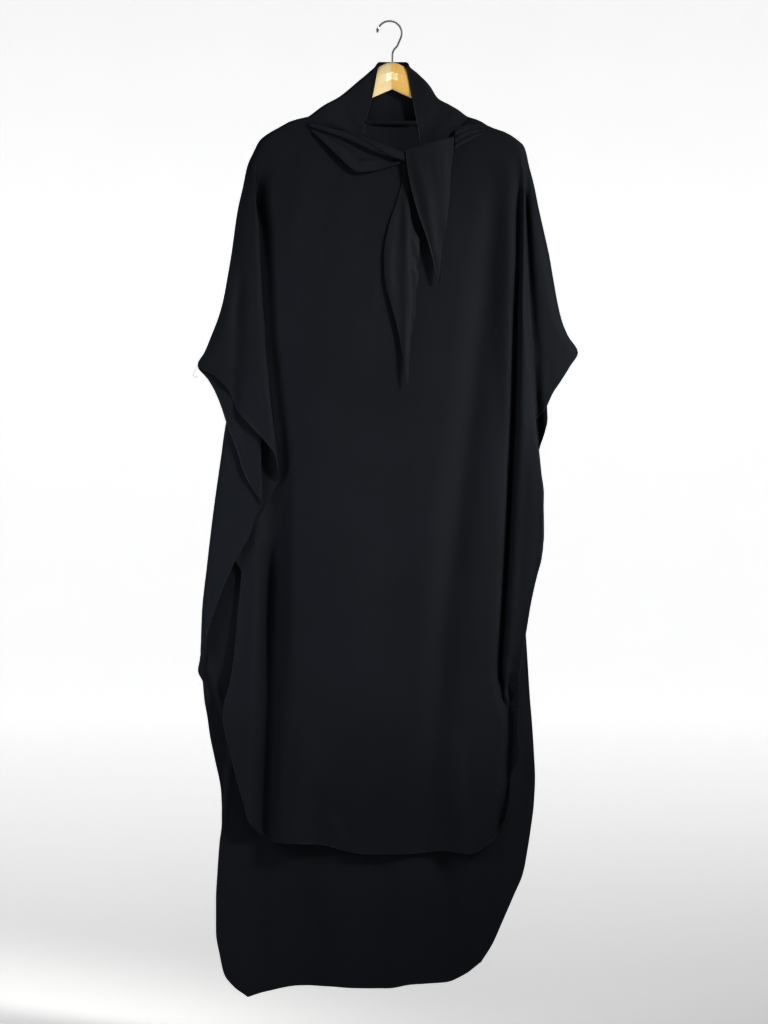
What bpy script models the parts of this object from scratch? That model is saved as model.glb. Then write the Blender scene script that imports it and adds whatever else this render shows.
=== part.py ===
"""A long black crepe khimar hung flat on a wooden coat hanger.

The garment faces -Y, the wearer's sleeves reach along X and +Z is up. The origin is under the
crown of the hanger's hook, where a rail would carry it. All tables are in millimetres and give
positions across (x) and up (z) from there; the meshes are made in metres.
"""
import math

import bpy
import bmesh
import numpy as np

MM = 0.001

# Cloth
WALL = 1.2               # thickness of the cloth wall
SEAM_GAP = 0.3           # gap between two pieces that are sewn together
HALF_SEAM = (WALL + SEAM_GAP) / 2
LEVEL_STEP = 4.0         # height between two worked-out sections of a panel
EDGE_COLUMNS = (0.0, 2.0, 7.0, 16.0)   # distance of the outermost columns from the edge
EDGE_SQUEEZE = 1.2       # spacing of the columns that an edge has overtaken
SEAM_ROLL = 16.0         # width over which front and back close up to their seam
SHOULDER_ROLL = 8.0      # the same where the seam lies on the hanger

# Hanger
HANGER_CENTRE = 3.5      # x of the neck of the hanger
HANGER_TILT = 1.0        # degrees, its right arm hangs lower
ARM_LENGTH = 208.0       # from the centre joint to the tip of an arm
ARMS_END_Z = -214.0      # below it the panels no longer follow the arms
ARM_THICKNESS = 13.0
ARM_BEND = 18.0          # how far the tips come forward
ARM_CLEARANCE = 0.6      # from the wood to the cloth on it
WIRE = 3.4               # diameter of the hook's wire

# Depths, -y is the front
CLOTH_ON_ARM = ARM_THICKNESS / 2 + ARM_CLEARANCE + WALL / 2
FRONT_DEPTH = -31.0      # front panel below the shoulders
BACK_DEPTH = 16.0        # back panel below the shoulders
SHOULDER_Z = -165.0
DROP = 235.0             # height over which the panels leave the hanger's arms

# Outline of the arm seams and of the two side hems, by layer. Each run is (layer, rows of z, x).
# The sleeve's wing is folded in a Z against the body, so a side hem first runs down the wing,
# then up the layer that is turned under, and then down the body.
FRONT_LEFT_EDGE = (
    ("wing", ((-163, -140), (-170, -168), (-180, -186), (-192, -207), (-204, -222), (-225, -233),
              (-247, -243), (-285, -251), (-326, -260), (-398, -270), (-440, -277), (-478, -284),
              (-507, -292), (-538, -304), (-567, -316), (-589, -328), (-606, -299), (-632, -275),
              (-669, -258), (-690, -239), (-719, -212), (-740, -196))),
    ("under", ((-788, -190), (-803, -199), (-846, -221), (-887, -247))),
    ("body", ((-938, -253), (-972, -256), (-1006, -260), (-1044, -263), (-1099, -268),
              (-1136, -275), (-1170, -284), (-1189, -285), (-1241, -275), (-1309, -258),
              (-1335, -250), (-1362, -244), (-1379, -234), (-1393, -222))),
)
BACK_LEFT_EDGE = (
    ("wing", FRONT_LEFT_EDGE[0][1][:16]
     + ((-613, -310), (-634, -298), (-661, -287), (-683, -280), (-699, -274), (-733, -261),
        (-769, -250), (-800, -234))),
    ("under", ((-838, -226), (-852, -232), (-882, -241), (-907, -256), (-935, -270),
               (-972, -286), (-1013, -301), (-1039, -310), (-1072, -317))),
    ("body", ((-1126, -321), (-1160, -318), (-1189, -313), (-1225, -308), (-1258, -301),
              (-1323, -289), (-1372, -288), (-1406, -292), (-1463, -296), (-1502, -298),
              (-1557, -298), (-1600, -291), (-1630, -284), (-1653, -267), (-1670, -243))),
)
FRONT_RIGHT_EDGE = (
    ("wing", ((-163, 133), (-170, 154), (-180, 169), (-189, 195), (-203, 217), (-215, 229),
              (-251, 238), (-281, 246), (-315, 253), (-360, 263), (-401, 272), (-442, 279),
              (-486, 287), (-514, 294), (-538, 304), (-567, 321), (-589, 308), (-616, 291),
              (-637, 277), (-657, 268), (-669, 261), (-677, 251))),
    ("under", ((-730, 244), (-784, 248), (-852, 252), (-890, 254))),
    ("body", ((-945, 251), (-970, 245), (-1005, 238), (-1037, 233), (-1068, 227), (-1092, 224),
              (-1126, 221), (-1159, 220), (-1224, 219), (-1241, 222), (-1258, 221),
              (-1275, 213), (-1292, 206), (-1333, 205), (-1350, 202), (-1383, 189),
              (-1397, 181))),
)
BACK_RIGHT_EDGE = (
    ("wing", FRONT_RIGHT_EDGE[0][1][:20]
     + ((-680, 269), (-700, 265), (-729, 256), (-818, 239), (-921, 233), (-989, 229),
        (-1058, 233), (-1107, 236), (-1153, 239), (-1201, 243), (-1249, 246), (-1294, 248),
        (-1338, 246), (-1379, 241), (-1425, 234), (-1459, 227), (-1494, 212), (-1538, 193),
        (-1581, 174), (-1610, 156))),
)

# Turns of the Z folds, rows of (z, x): the outer turn lies furthest from the middle.
FRONT_LEFT_OUTER_TURN = ((-200, -205), (-240, -215), (-280, -226), (-367, -236), (-456, -245),
                         (-551, -253), (-640, -260), (-724, -263), (-818, -263), (-907, -262),
                         (-950, -280), (-1100, -310))
FRONT_LEFT_INNER_TURN = ((-200, -216), (-240, -228), (-280, -229), (-319, -224), (-367, -219),
                         (-411, -215), (-456, -212), (-504, -209), (-551, -205), (-584, -200),
                         (-640, -195), (-724, -186), (-784, -182))
BACK_LEFT_OUTER_TURN = ((-200, -210), (-240, -222), (-280, -233), (-367, -243), (-456, -250),
                        (-551, -257), (-613, -266), (-647, -272), (-699, -282), (-750, -289),
                        (-813, -298), (-851, -303), (-892, -308), (-936, -313), (-977, -318),
                        (-1008, -321), (-1058, -323), (-1092, -325), (-1150, -345))
BACK_LEFT_INNER_TURN = ((-200, -221), (-240, -234), (-280, -237), (-319, -232), (-367, -227),
                        (-456, -220), (-551, -213), (-640, -213), (-740, -220), (-820, -217))
FRONT_RIGHT_OUTER_TURN = ((-215, 222), (-245, 230), (-261, 234), (-322, 238), (-391, 241),
                          (-459, 245), (-528, 246), (-589, 248), (-647, 251), (-690, 253),
                          (-728, 256), (-764, 258), (-810, 262), (-883, 262), (-916, 258))
FRONT_RIGHT_INNER_TURN = ((-215, 226), (-245, 235), (-261, 236), (-322, 230), (-391, 227),
                          (-459, 225), (-528, 225), (-589, 227), (-647, 230), (-690, 234),
                          (-728, 239), (-764, 242), (-883, 246))

# Long folds of the body, rows of (z, x).
LEFT_VALLEY = ((-600, -190), (-820, -204), (-1100, -207), (-1424, -210), (-1670, -215))
RIGHT_GROOVE = ((-215, 214), (-245, 222), (-339, 219), (-459, 217), (-579, 214), (-675, 211),
                (-827, 200), (-948, 193), (-1029, 188), (-1109, 188), (-1174, 198), (-1400, 170))
SOFT_DIAGONAL = ((-240, 198), (-579, 154), (-784, 128), (-1023, 94), (-1400, 60))

# Depth tables, rows of (z, y).
LEFT_WING_DEPTH = ((-163, -15), (-206, -26), (-300, -34), (-420, -43), (-500, -46), (-820, -46),
                   (-1100, -40), (-1700, -34))
RIGHT_STRIP_DEPTH = ((-163, -15), (-206, -26), (-300, -33), (-420, -38), (-800, -42),
                     (-1100, -40), (-1400, -34))
HALF_GAP = ((-163, CLOTH_ON_ARM), (-212, CLOTH_ON_ARM), (-290, 3.75), (-1700, 3.75))

# Necklines and bottom hems, rows of (x, z).
FRONT_NECKLINE = ((-140, -163), (-120, -180), (-86, -194), (-58, -203), (-14, -215), (5, -220),
                  (38, -218), (82, -206), (109, -196), (133, -163))
BACK_NECKLINE = ((-140, -163), (-110, -175), (-60, -182), (0, -185), (60, -182), (105, -175),
                 (133, -163))
FRONT_HEM = ((-222, -1393), (-202, -1403), (-164, -1405), (-113, -1408), (-80, -1417),
             (-36, -1424), (0, -1424), (48, -1422), (92, -1418), (139, -1423), (161, -1412),
             (181, -1397))
BACK_HEM = ((-243, -1670), (-221, -1663), (-190, -1656), (-157, -1651), (-99, -1653),
            (-55, -1656), (-7, -1656), (36, -1649), (96, -1646), (128, -1632), (156, -1610))

# Heights of the mesh rows, taken at the side edges.
FRONT_ROWS = (-163, -172, -183, -195, -206, -222, -250, -290, -340, -400, -460, -520, -567,
              -589, -618, -660, -700, -740, -788, -830, -880, -930, -980, -1030, -1090, -1150,
              -1205, -1258, -1300, -1340, -1370, -1393)
BACK_ROWS = (-163, -172, -183, -195, -206, -222, -250, -290, -340, -400, -460, -520, -567,
             -589, -634, -683, -733, -800, -850, -907, -972, -1030, -1092, -1160, -1225, -1300,
             -1372, -1450, -1530, -1600, -1640, -1670)

CUFF_ROW = -589.0        # rows above it are alike on all edges, so that the arm seams meet

# Hood, rows of (z, x)
HOOD_LEFT = ((-68, -20), (-76, -25), (-86, -36), (-109, -63), (-129, -88), (-143, -113),
             (-163, -140), (-200, -200))
HOOD_RIGHT = ((-68, 30), (-76, 33), (-88, 47), (-110, 68), (-131, 82), (-143, 103),
              (-163, 133), (-200, 190))
OPENING_LEFT = ((-74, -20), (-131, -31), (-170, -41), (-225, -45))
OPENING_RIGHT = ((-76, 28), (-134, 38), (-179, 46), (-225, 53))
HOOD_TOP_FRONT = -75.0
HOOD_TOP_BACK = -68.0
HOOD_FOLD = ((-68, 12.0), (-84, 12.0), (-110, 8.5), (-163, 8.0))   # width of its side turns by z
HOOD_LEVEL_STEP = 2.0
HOOD_ROWS = 11
NECK_GAP = 0.45          # height kept between the hood and the panels' necklines
CORNER_GAP = 1.8         # added to it at the corners, where the hood slopes outwards

# Chin piece, rows of (z, forward): its rolled top edge, the stitched groove and the flat below.
CHIN_PROFILE = ((-170, 0.6), (-171.5, 2.4), (-174.5, 2.4), (-177.5, -1.0), (-181, -1.4),
                (-196, -1.0), (-206, 0.0), (-222, 0.0))
CHIN_COLUMNS = 9
CHIN_GAP = 0.45          # beside the hood's two edges

# Right tie's tail: rows of (z, x) down its two edges. It hangs in front of all else.
SHORT_TAIL_LEFT = ((-220, 26), (-247, 29), (-278, 34), (-331, 48), (-374, 63), (-413, 74),
                   (-444, 83))
SHORT_TAIL_RIGHT = ((-198, 109), (-218, 108), (-259, 103), (-298, 101), (-346, 96), (-392, 91),
                    (-430, 87), (-447, 85))
SHORT_TAIL_ROWS = 12
SHORT_TAIL_COLUMNS = 9
SHORT_TAIL_LIFT = (12.75, 9.0, 3.0)   # off the panel: top left, top right, tip

# Left tie's tail, behind the short one
LONG_TAIL_LEFT = ((-236, 20), (-262, 22), (-309, 11), (-355, -3), (-401, -10), (-439, -9),
                  (-478, 0), (-524, 12), (-570, 21), (-622, 28))
LONG_TAIL_RIGHT = ((-236, 33), (-262, 32), (-309, 33), (-327, 34), (-355, 40), (-377, 50),
                   (-401, 50), (-420, 46), (-436, 49), (-463, 44), (-502, 43), (-524, 39),
                   (-555, 34), (-586, 32), (-622, 30))
LONG_TAIL_ROWS = 15
LONG_TAIL_COLUMNS = 8
LONG_TAIL_LIFT = (2.3, 2.4)
LONG_TAIL_FOLD = 26.0    # x of the fold that runs down its middle

# Left tie's roll, rows of (x, z, half height), from the shoulder to the knot
LEFT_ROLL = ((-137, -177, 4.0), (-112, -184, 5.5), (-87, -191, 7.0), (-58, -202, 8.5),
             (-22, -217, 11.0), (4, -226, 9.5), (20, -231, 8.5), (34, -236, 7.0))
ROLL_FLATNESS = 0.5      # half depth over half height
ROLL_SIDES = 10
ROLL_STATIONS = 11

# Loose fold of the left tie below its roll, rows of (x, z, off the panel) along its lower edge
LOOSE_FOLD_EDGE = ((-134, -188, 2.4), (-118, -203, 5.0), (-92, -228, 7.0), (-65, -253, 8.0),
                   (-53, -259, 8.0), (-31, -257, 7.5), (-2, -249, 6.5), (18, -243, 6.0))
LOOSE_FOLD_ROWS = 5
TIE_LIFT = 2.1           # least distance from the middle of a tie's cloth to the panel's
ROLL_LIFT = (2.8, 4.2)   # from the panel's middle to the back of the roll, shoulder and knot

# Gathers of the right tie, rows of (x, z top, z bottom), from the knot to the shoulder
GATHERS = ((110, -187, -221), (118, -182, -214), (131, -178, -207), (147, -176, -199),
           (162, -181, -192))
GATHER_WAVES = 3
GATHER_HEIGHT = 2.4
GATHER_ROWS = 13
GATHER_STATIONS = 8

# Wooden arms, rows of (distance from the centre, top, bottom) in z
ARM_PROFILE = ((0, -69, -115.5), (10, -70.5, -120), (21, -76, -125), (40, -93, -133.5),
               (64, -119, -146), (80, -136, -155), (100, -147, -167), (130, -164, -183),
               (150, -173, -193), (171, -182, -203), (188, -190, -211), (202, -198, -216),
               (208, -203, -214))
ARM_SIDES = 16
ARM_JOINT = 0.15         # half the glue line between the two arms
STEM_HOLE = 0.3          # clearance round the stem of the hook

# Hook, in the plane of the hanger
CROWN_RADIUS = 21.0      # to the middle of the wire
CROWN_CENTRE_X = -1.0
CROWN_START = 176.0      # degrees, at the free end
CROWN_END = -28.0
STEM_X = 4.0
STEM_LOW = -92.0
STEM_TURN = ((12.5, -41.0), (6.6, -47.5), (4.2, -54.0))
TIP_SWELL = 1.5          # the rounded free end is thicker than the wire


def remove_everything():
    for thing in list(bpy.data.objects):
        bpy.data.objects.remove(thing, do_unlink=True)


def material(name, colour, roughness, metallic=0.0):
    made = bpy.data.materials.new(name)
    made.use_nodes = True
    shader = made.node_tree.nodes["Principled BSDF"]
    shader.inputs["Base Color"].default_value = (*colour, 1.0)
    shader.inputs["Roughness"].default_value = roughness
    shader.inputs["Metallic"].default_value = metallic
    return made


def smoothstep(value):
    value = np.clip(value, 0.0, 1.0)
    return value * value * (3.0 - 2.0 * value)


def bump(distance, width):
    """A soft ridge of height 1 that has died away two widths from its line."""
    return np.exp(-(distance / width) ** 2)


def along(table, key):
    """Value of a table at a key, on a smooth curve that never overshoots its rows."""
    rows = np.array(sorted(table), dtype=float)
    keys = rows[:, 0]
    values = rows[:, 1]
    steps = np.diff(keys)
    slopes = np.diff(values) / steps
    tangent = np.zeros(len(keys))
    same_way = slopes[:-1] * slopes[1:] > 0
    mean = np.zeros(len(slopes) - 1)
    mean[same_way] = (2 * slopes[:-1] * slopes[1:] / (slopes[:-1] + slopes[1:] + 1e-12))[same_way]
    tangent[1:-1] = mean
    tangent[0] = slopes[0]
    tangent[-1] = slopes[-1]
    key = np.clip(key, keys[0], keys[-1])
    index = np.clip(np.searchsorted(keys, key, side="right") - 1, 0, len(steps) - 1)
    step = steps[index]
    t = (key - keys[index]) / step
    return ((1 + 2 * t) * (1 - t) ** 2 * values[index]
            + t * (1 - t) ** 2 * step * tangent[index]
            + t * t * (3 - 2 * t) * values[index + 1]
            + t * t * (t - 1) * step * tangent[index + 1])


def arm_line(x):
    """Depth of the middle of the hanger's arms, which curve forward to their tips."""
    return -ARM_BEND * ((x - HANGER_CENTRE) / ARM_LENGTH) ** 2


def on_arms(z):
    """1 where the cloth lies on the arms, 0 below their tips."""
    return float(1.0 - smoothstep((ARMS_END_Z - z) / 50.0))


def leaving_arms(z):
    return smoothstep((SHOULDER_Z - z) / DROP)


def front_depth(x, z):
    """Depth of the front panel's body, with its long soft folds."""
    hung = FRONT_DEPTH + 3.0 * (x / 250.0) ** 2
    low = smoothstep((-400.0 - z) / 300.0)
    diagonal = 6.0 * smoothstep((-230.0 - z) / 250.0) * bump(x - along(SOFT_DIAGONAL, z), 24.0)
    valley = 9.0 * smoothstep((-560.0 - z) / 300.0) * bump(x - along(LEFT_VALLEY, z), 20.0)
    rise = -3.0 * low * bump(x + 60.0, 90.0)
    shape = arm_line(x) - CLOTH_ON_ARM
    blend = leaving_arms(z)
    return shape * (1 - blend) + (hung + diagonal + valley + rise) * blend


def back_depth(x, z):
    """Depth of the back panel's body, with long folds that hang from the hanger's arms."""
    hung = BACK_DEPTH - 9.0 * (x / 250.0) ** 2
    low = smoothstep((-420.0 - z) / 420.0)
    folds = (-6.0 * bump(x + 208.0, 20.0) + 5.0 * bump(x + 150.0, 30.0)
             - 5.0 * bump(x - 20.0, 40.0) + 5.0 * bump(x - 92.0, 26.0)
             - 4.0 * bump(x - 165.0, 24.0)) * low
    shape = arm_line(x) + CLOTH_ON_ARM
    blend = leaving_arms(z)
    return shape * (1 - blend) + (hung + folds) * blend


def half_circle(count):
    return np.linspace(-math.pi / 2, math.pi / 2, count)


class Side:
    """One half of a panel, worked outwards from its middle line to its edge.

    way is -1 for the left and 1 for the right. A Z fold has an outer and an inner turn; toward is
    -1 where the wing lies in front of the body and 1 where it lies behind it.
    """

    def __init__(self, way, edge, body_depth, level, outer=None, inner=None, radii=(0, 0),
                 toward=1, strength=None, wing_depth=None, seam_side=-1):
        self.way = way
        self.edge = edge
        self.body_depth = body_depth
        self.level = level
        self.outer = outer
        self.inner = inner
        self.radii = radii
        self.toward = toward
        self.strength = strength
        self.wing_depth = wing_depth
        self.seam_side = seam_side

    def path(self, z):
        """Points (out, y) of the whole section, and the arc lengths where its parts end."""
        way = self.way
        level = self.level(z)
        free = 1.0 - on_arms(z)
        if self.outer is None:
            out = np.linspace(0.0, 360.0, 121)
            near = self.body_depth(way * out, z)
            blend = smoothstep((out - 120.0) / 110.0) * free
            points = np.stack([out, near * (1 - blend) + level * blend], axis=1)
            return points, (len(points) - 1,) * 4
        turn_out = way * along(self.outer, z)
        turn_in = way * along(self.inner, z)
        strength = self.strength(z)
        r_out = self.radii[0] * strength
        r_in = self.radii[1] * strength
        overlap = np.clip((turn_out - turn_in) / (r_out + r_in + 1.0), -1.0, 1.0)
        body_end = turn_out - r_out * overlap
        out = np.linspace(0.0, body_end, 81)
        near = self.body_depth(way * out, z)
        flat_from = body_end - 10.0
        if self.toward < 0:
            flat_from = min(body_end, turn_in) - 14.0
        blend = smoothstep((out - flat_from + 52.0) / 52.0) * free
        body = np.stack([out, near * (1 - blend) + level * blend], axis=1)
        level = body[-1, 1]
        angle = half_circle(13)
        first = np.stack([turn_out - r_out * overlap * (1 - np.cos(angle)),
                          level + self.toward * r_out * (1 + np.sin(angle))], axis=1)
        level += self.toward * 2 * r_out
        second = np.stack([turn_in + r_in * overlap * (1 - np.cos(angle)),
                           level + self.toward * r_in * (1 + np.sin(angle))], axis=1)
        level += self.toward * 2 * r_in
        wing_out = np.linspace(second[-1, 0], second[-1, 0] + 200.0, 41)[1:]
        bow = self.body_depth(way * wing_out, z) - self.body_depth(way * second[-1, 0], z)
        wing = np.stack([wing_out, level + bow * (1.0 - free)], axis=1)
        points = np.concatenate([body, first[1:], second, wing])
        marks = (80, 92, 93, 105)
        return points, marks

    @staticmethod
    def lengths(points):
        steps = np.hypot(*np.diff(points, axis=0).T)
        return np.concatenate([[0.0], np.cumsum(steps)])

    def edge_length(self, z, points, lengths, marks):
        """Arc length at which the seam or hem cuts the section off."""
        spans = {"body": (0, marks[0] + 6), "under": (marks[1] - 6, marks[2] + 6),
                 "wing": (marks[3] - 6, len(points))}
        ends = []
        for layer, rows in self.edge:
            top = rows[0][0]
            bottom = rows[-1][0]
            inside = bottom <= z <= top
            if inside or (top > z and rows is self.edge[-1][1]):
                return self.length_at(along(rows, z), layer, spans, points, lengths, marks)
            ends.append((top, bottom, layer, rows))
        for upper, lower in zip(ends[:-1], ends[1:]):
            if lower[0] < z < upper[1]:
                start = self.length_at(upper[3][-1][1], upper[2], spans, points, lengths, marks)
                end = self.length_at(lower[3][0][1], lower[2], spans, points, lengths, marks)
                share = (upper[1] - z) / (upper[1] - lower[0])
                return start + (end - start) * share
        return self.length_at(self.edge[0][1][0][1], "wing", spans, points, lengths, marks)

    def length_at(self, x, layer, spans, points, lengths, marks):
        out = self.way * x
        flat = points[marks[0], 0] <= points[marks[3], 0] + 1e-6
        if flat or self.outer is None:
            start, stop = 0, len(points)
        else:
            start, stop = spans[layer]
        across = points[start:stop, 0]
        arc = lengths[start:stop]
        if layer == "under" and not flat:
            across = across[::-1]
            arc = arc[::-1]
        order = np.maximum.accumulate(across)
        return float(np.interp(out, order, arc))

    def columns(self, z, body_knots, counts):
        """Points (x, y) of the mesh columns at one height, from the middle to the edge."""
        points, marks = self.path(z)
        lengths = self.lengths(points)
        cut = self.edge_length(z, points, lengths, marks)
        body_out = np.array(body_knots(z))
        body_end = points[marks[0], 0]
        body_out = np.minimum(body_out, body_end - np.arange(len(body_out), 0, -1) * 0.5)
        body = np.interp(body_out, points[:marks[0] + 1, 0], lengths[:marks[0] + 1])
        arcs = [body]
        if self.outer is not None:
            for start, stop, count in zip(marks[:-1], marks[1:], counts[:3]):
                arcs.append(np.linspace(lengths[start], lengths[stop], count + 1)[:-1])
        fold_end = lengths[marks[3]] if self.outer is not None else body[-1] + 1.0
        beyond = max(cut - fold_end, 1.0)
        arcs.append(fold_end + np.linspace(0.0, 1.0, counts[3] + 1)[:-1] * beyond)
        nominal = np.concatenate(arcs + [np.full(len(EDGE_COLUMNS), 1e6)])
        total = len(nominal)
        back = np.arange(total - 1, -1, -1)
        spacing = np.array([EDGE_COLUMNS[k] if k < len(EDGE_COLUMNS)
                            else EDGE_COLUMNS[-1] + (k - len(EDGE_COLUMNS) + 1) * EDGE_SQUEEZE
                            for k in back])
        arc = np.minimum(nominal, cut - spacing)
        out = np.interp(arc, lengths, points[:, 0])
        depth = np.interp(arc, lengths, points[:, 1])
        return np.stack([self.way * out, self.close_seam(depth, cut - arc, z)], axis=1)

    def close_seam(self, depth, from_edge, z):
        """Bring the cloth in to the arm seam, and let it go free below the cuff."""
        cuff = self.edge_cuff()
        hold = 1.0 - smoothstep((cuff - z) / 30.0)
        follow = on_arms(z)
        edge_x = along(self.edge[0][1], z)
        seam = (arm_line(edge_x) * follow + self.wing_depth(z) * (1.0 - follow)
                + self.seam_side * HALF_SEAM)
        roll = SHOULDER_ROLL * follow + SEAM_ROLL * (1.0 - follow)
        near = 1.0 - smoothstep(from_edge / roll)
        return depth + (seam - depth) * near * hold

    def edge_cuff(self):
        rows = self.edge[0][1]
        return max(rows, key=lambda row: self.way * row[1])[0]


def fold_strength(start, full):
    def strength(z):
        return float(smoothstep((start - z) / (start - full))) + 0.01
    return strength


def left_wing(z):
    return float(along(LEFT_WING_DEPTH, z))


def right_strip(z):
    return float(along(RIGHT_STRIP_DEPTH, z))


def half_gap(z):
    return float(along(HALF_GAP, z))


left_strength = fold_strength(-225.0, -330.0)
right_strength = fold_strength(-225.0, -340.0)
LEFT_RADII_FRONT = (3.0, 10.5)
LEFT_RADII_BACK = (10.5, 3.0)
RIGHT_RADII = (4.0, 4.0)
LEFT_STACK = 2 * sum(LEFT_RADII_FRONT)
RIGHT_STACK = 2 * sum(RIGHT_RADII)


def below_folds(z):
    return float(smoothstep((-1000.0 - z) / 220.0))


def left_front_level(z):
    stacked = left_wing(z) + LEFT_STACK * left_strength(z)
    return stacked * (1 - below_folds(z)) + float(front_depth(-250.0, z)) * below_folds(z)


def left_back_level(z):
    stacked = left_wing(z) + LEFT_STACK * left_strength(z) + 2 * half_gap(z)
    return stacked * (1 - below_folds(z)) + float(back_depth(-300.0, z)) * below_folds(z)


def left_seam(z):
    return left_wing(z) + half_gap(z)


def right_seam(z):
    return right_strip(z) + RIGHT_STACK * right_strength(z) + half_gap(z)


def right_back_level(z):
    edge = right_seam(z) + half_gap(z)
    free = smoothstep((-600.0 - z) / 250.0)
    return edge * (1 - free) - 2.0 * free


FRONT_LEFT = Side(-1, FRONT_LEFT_EDGE, front_depth, left_front_level, FRONT_LEFT_OUTER_TURN,
                  FRONT_LEFT_INNER_TURN, LEFT_RADII_FRONT, -1, left_strength, left_seam, -1)
FRONT_RIGHT = Side(1, FRONT_RIGHT_EDGE, front_depth, right_strip, FRONT_RIGHT_OUTER_TURN,
                   FRONT_RIGHT_INNER_TURN, RIGHT_RADII, 1, right_strength, right_seam, -1)
BACK_LEFT = Side(-1, BACK_LEFT_EDGE, back_depth, left_back_level, BACK_LEFT_OUTER_TURN,
                 BACK_LEFT_INNER_TURN, LEFT_RADII_BACK, -1, left_strength, left_seam, 1)
BACK_RIGHT = Side(1, BACK_RIGHT_EDGE, back_depth, right_back_level, wing_depth=right_seam,
                  seam_side=1)


def knots_round(line, way, inner_share):
    """Body columns that close in on one long fold of the panel."""
    def knots(z):
        fold = way * float(along(line, z))
        return [fold * share for share in inner_share] + [fold - 26, fold - 11, fold, fold + 12]
    return knots


LEFT_KNOTS = knots_round(LEFT_VALLEY, -1, (0.0, 0.3, 0.6))
RIGHT_KNOTS = knots_round(RIGHT_GROOVE, 1, (0.0, 0.28, 0.5, 0.7))
PLAIN_KNOTS = knots_round(((-163, 160), (-1700, 165)), 1, (0.0, 0.3, 0.6))
FOLD_COUNTS = (3, 2, 3, 3)
PLAIN_COUNTS = (0, 0, 0, 3)


def panel_points(left, right, left_knots, right_knots, counts, top, bottom, rows):
    """Grid of points of a panel, row by row, from its left edge to its right edge."""
    z_first = rows[0]
    z_last = min(row[1] for row in bottom) - LEVEL_STEP
    levels = np.arange(z_first, z_last, -LEVEL_STEP)
    sections = []
    for z in levels:
        half_left = left.columns(z, left_knots, counts[0])[::-1]
        half_right = right.columns(z, right_knots, counts[1])
        sections.append(np.concatenate([half_left, half_right[1:]]))
    sections = np.array(sections)
    rows = np.array(rows, dtype=float)
    upper = rows >= CUFF_ROW
    share = np.where(upper, (rows[0] - rows) / (rows[0] - CUFF_ROW),
                     (CUFF_ROW - rows) / (CUFF_ROW - rows[-1]))
    grid = []
    for column in range(sections.shape[1]):
        x = sections[:, column, 0]
        y = sections[:, column, 1]
        above = levels - along(top, x)
        below = levels - along(bottom, x)
        z_top = crossing(levels, above)
        z_bottom = crossing(levels, below)
        z = np.where(upper, z_top + (CUFF_ROW - z_top) * share,
                     CUFF_ROW + (z_bottom - CUFF_ROW) * share)
        order = levels[::-1]
        grid.append(np.stack([np.interp(z, order, x[::-1]), np.interp(z, order, y[::-1]), z],
                             axis=1))
    return np.array(grid).transpose(1, 0, 2)


def crossing(levels, height):
    """Height at which a column passes a border, going down."""
    under = np.nonzero(height <= 0.0)[0]
    if len(under) == 0:
        return levels[-1]
    index = under[0]
    if index == 0:
        return levels[0]
    share = height[index - 1] / (height[index - 1] - height[index])
    return levels[index - 1] + (levels[index] - levels[index - 1]) * share


def cloth_object(name, grid, finish, wall=WALL):
    """A wall of cloth through a grid of points in millimetres."""
    rows, columns = grid.shape[:2]
    mesh = bpy.data.meshes.new(name)
    form = bmesh.new()
    points = [[form.verts.new(tuple(grid[r, c] * MM)) for c in range(columns)]
              for r in range(rows)]
    for r in range(rows - 1):
        for c in range(columns - 1):
            form.faces.new((points[r][c], points[r + 1][c], points[r + 1][c + 1],
                            points[r][c + 1]))
    form.to_mesh(mesh)
    form.free()
    mesh.shade_smooth()
    made = bpy.data.objects.new(name, mesh)
    bpy.context.collection.objects.link(made)
    made.data.materials.append(finish)
    thick = made.modifiers.new("Wall", "SOLIDIFY")
    thick.thickness = wall * MM
    thick.offset = 0.0
    return made


def cover_depth(x, z):
    """Depth of the cloth that the ties lie on."""
    return front_depth(x, z)


def hood_ring(z):
    """Points (x, y) once round the hood at one height, open at the face."""
    left = float(along(HOOD_LEFT, z))
    right = float(along(HOOD_RIGHT, z))
    open_left = float(along(OPENING_LEFT, z))
    open_right = float(along(OPENING_RIGHT, z))
    angle = np.linspace(-math.pi / 2, math.pi / 2, 5)
    pinch = float(smoothstep((-148.0 - z) / 15.0))
    ring = []
    for edge, opening, way in ((left, open_left, -1), (right, open_right, 1)):
        fold = min(float(along(HOOD_FOLD, z)), way * (edge - opening) * 0.6)
        start = edge - way * fold
        front_y = float(front_depth(start, z))
        back_y = float(back_depth(start, z))
        middle = (front_y + back_y) / 2
        half = (back_y - front_y) / 2
        near = 1.0 - np.cos(angle)
        rounded = middle + half * np.sin(angle)
        pinched = middle + np.sign(angle) * (HALF_SEAM + (half - HALF_SEAM) * smoothstep(near))
        turn = np.stack([start + way * fold * np.cos(angle),
                         rounded * (1 - pinch) + pinched * pinch], axis=1)
        share = np.linspace(0.0, 1.0, 5)[:-1]
        x = opening + (start - opening) * share
        y = np.array([float(front_depth(v, z)) for v in x])
        face = np.stack([x, y], axis=1)
        ring.append((face, turn))
    x = np.linspace(ring[0][1][-1, 0], ring[1][1][-1, 0], 9)[1:-1]
    behind = np.stack([x, back_depth(x, z)], axis=1)
    return np.concatenate([ring[0][0], ring[0][1], behind, ring[1][1][::-1], ring[1][0][::-1]])


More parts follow.
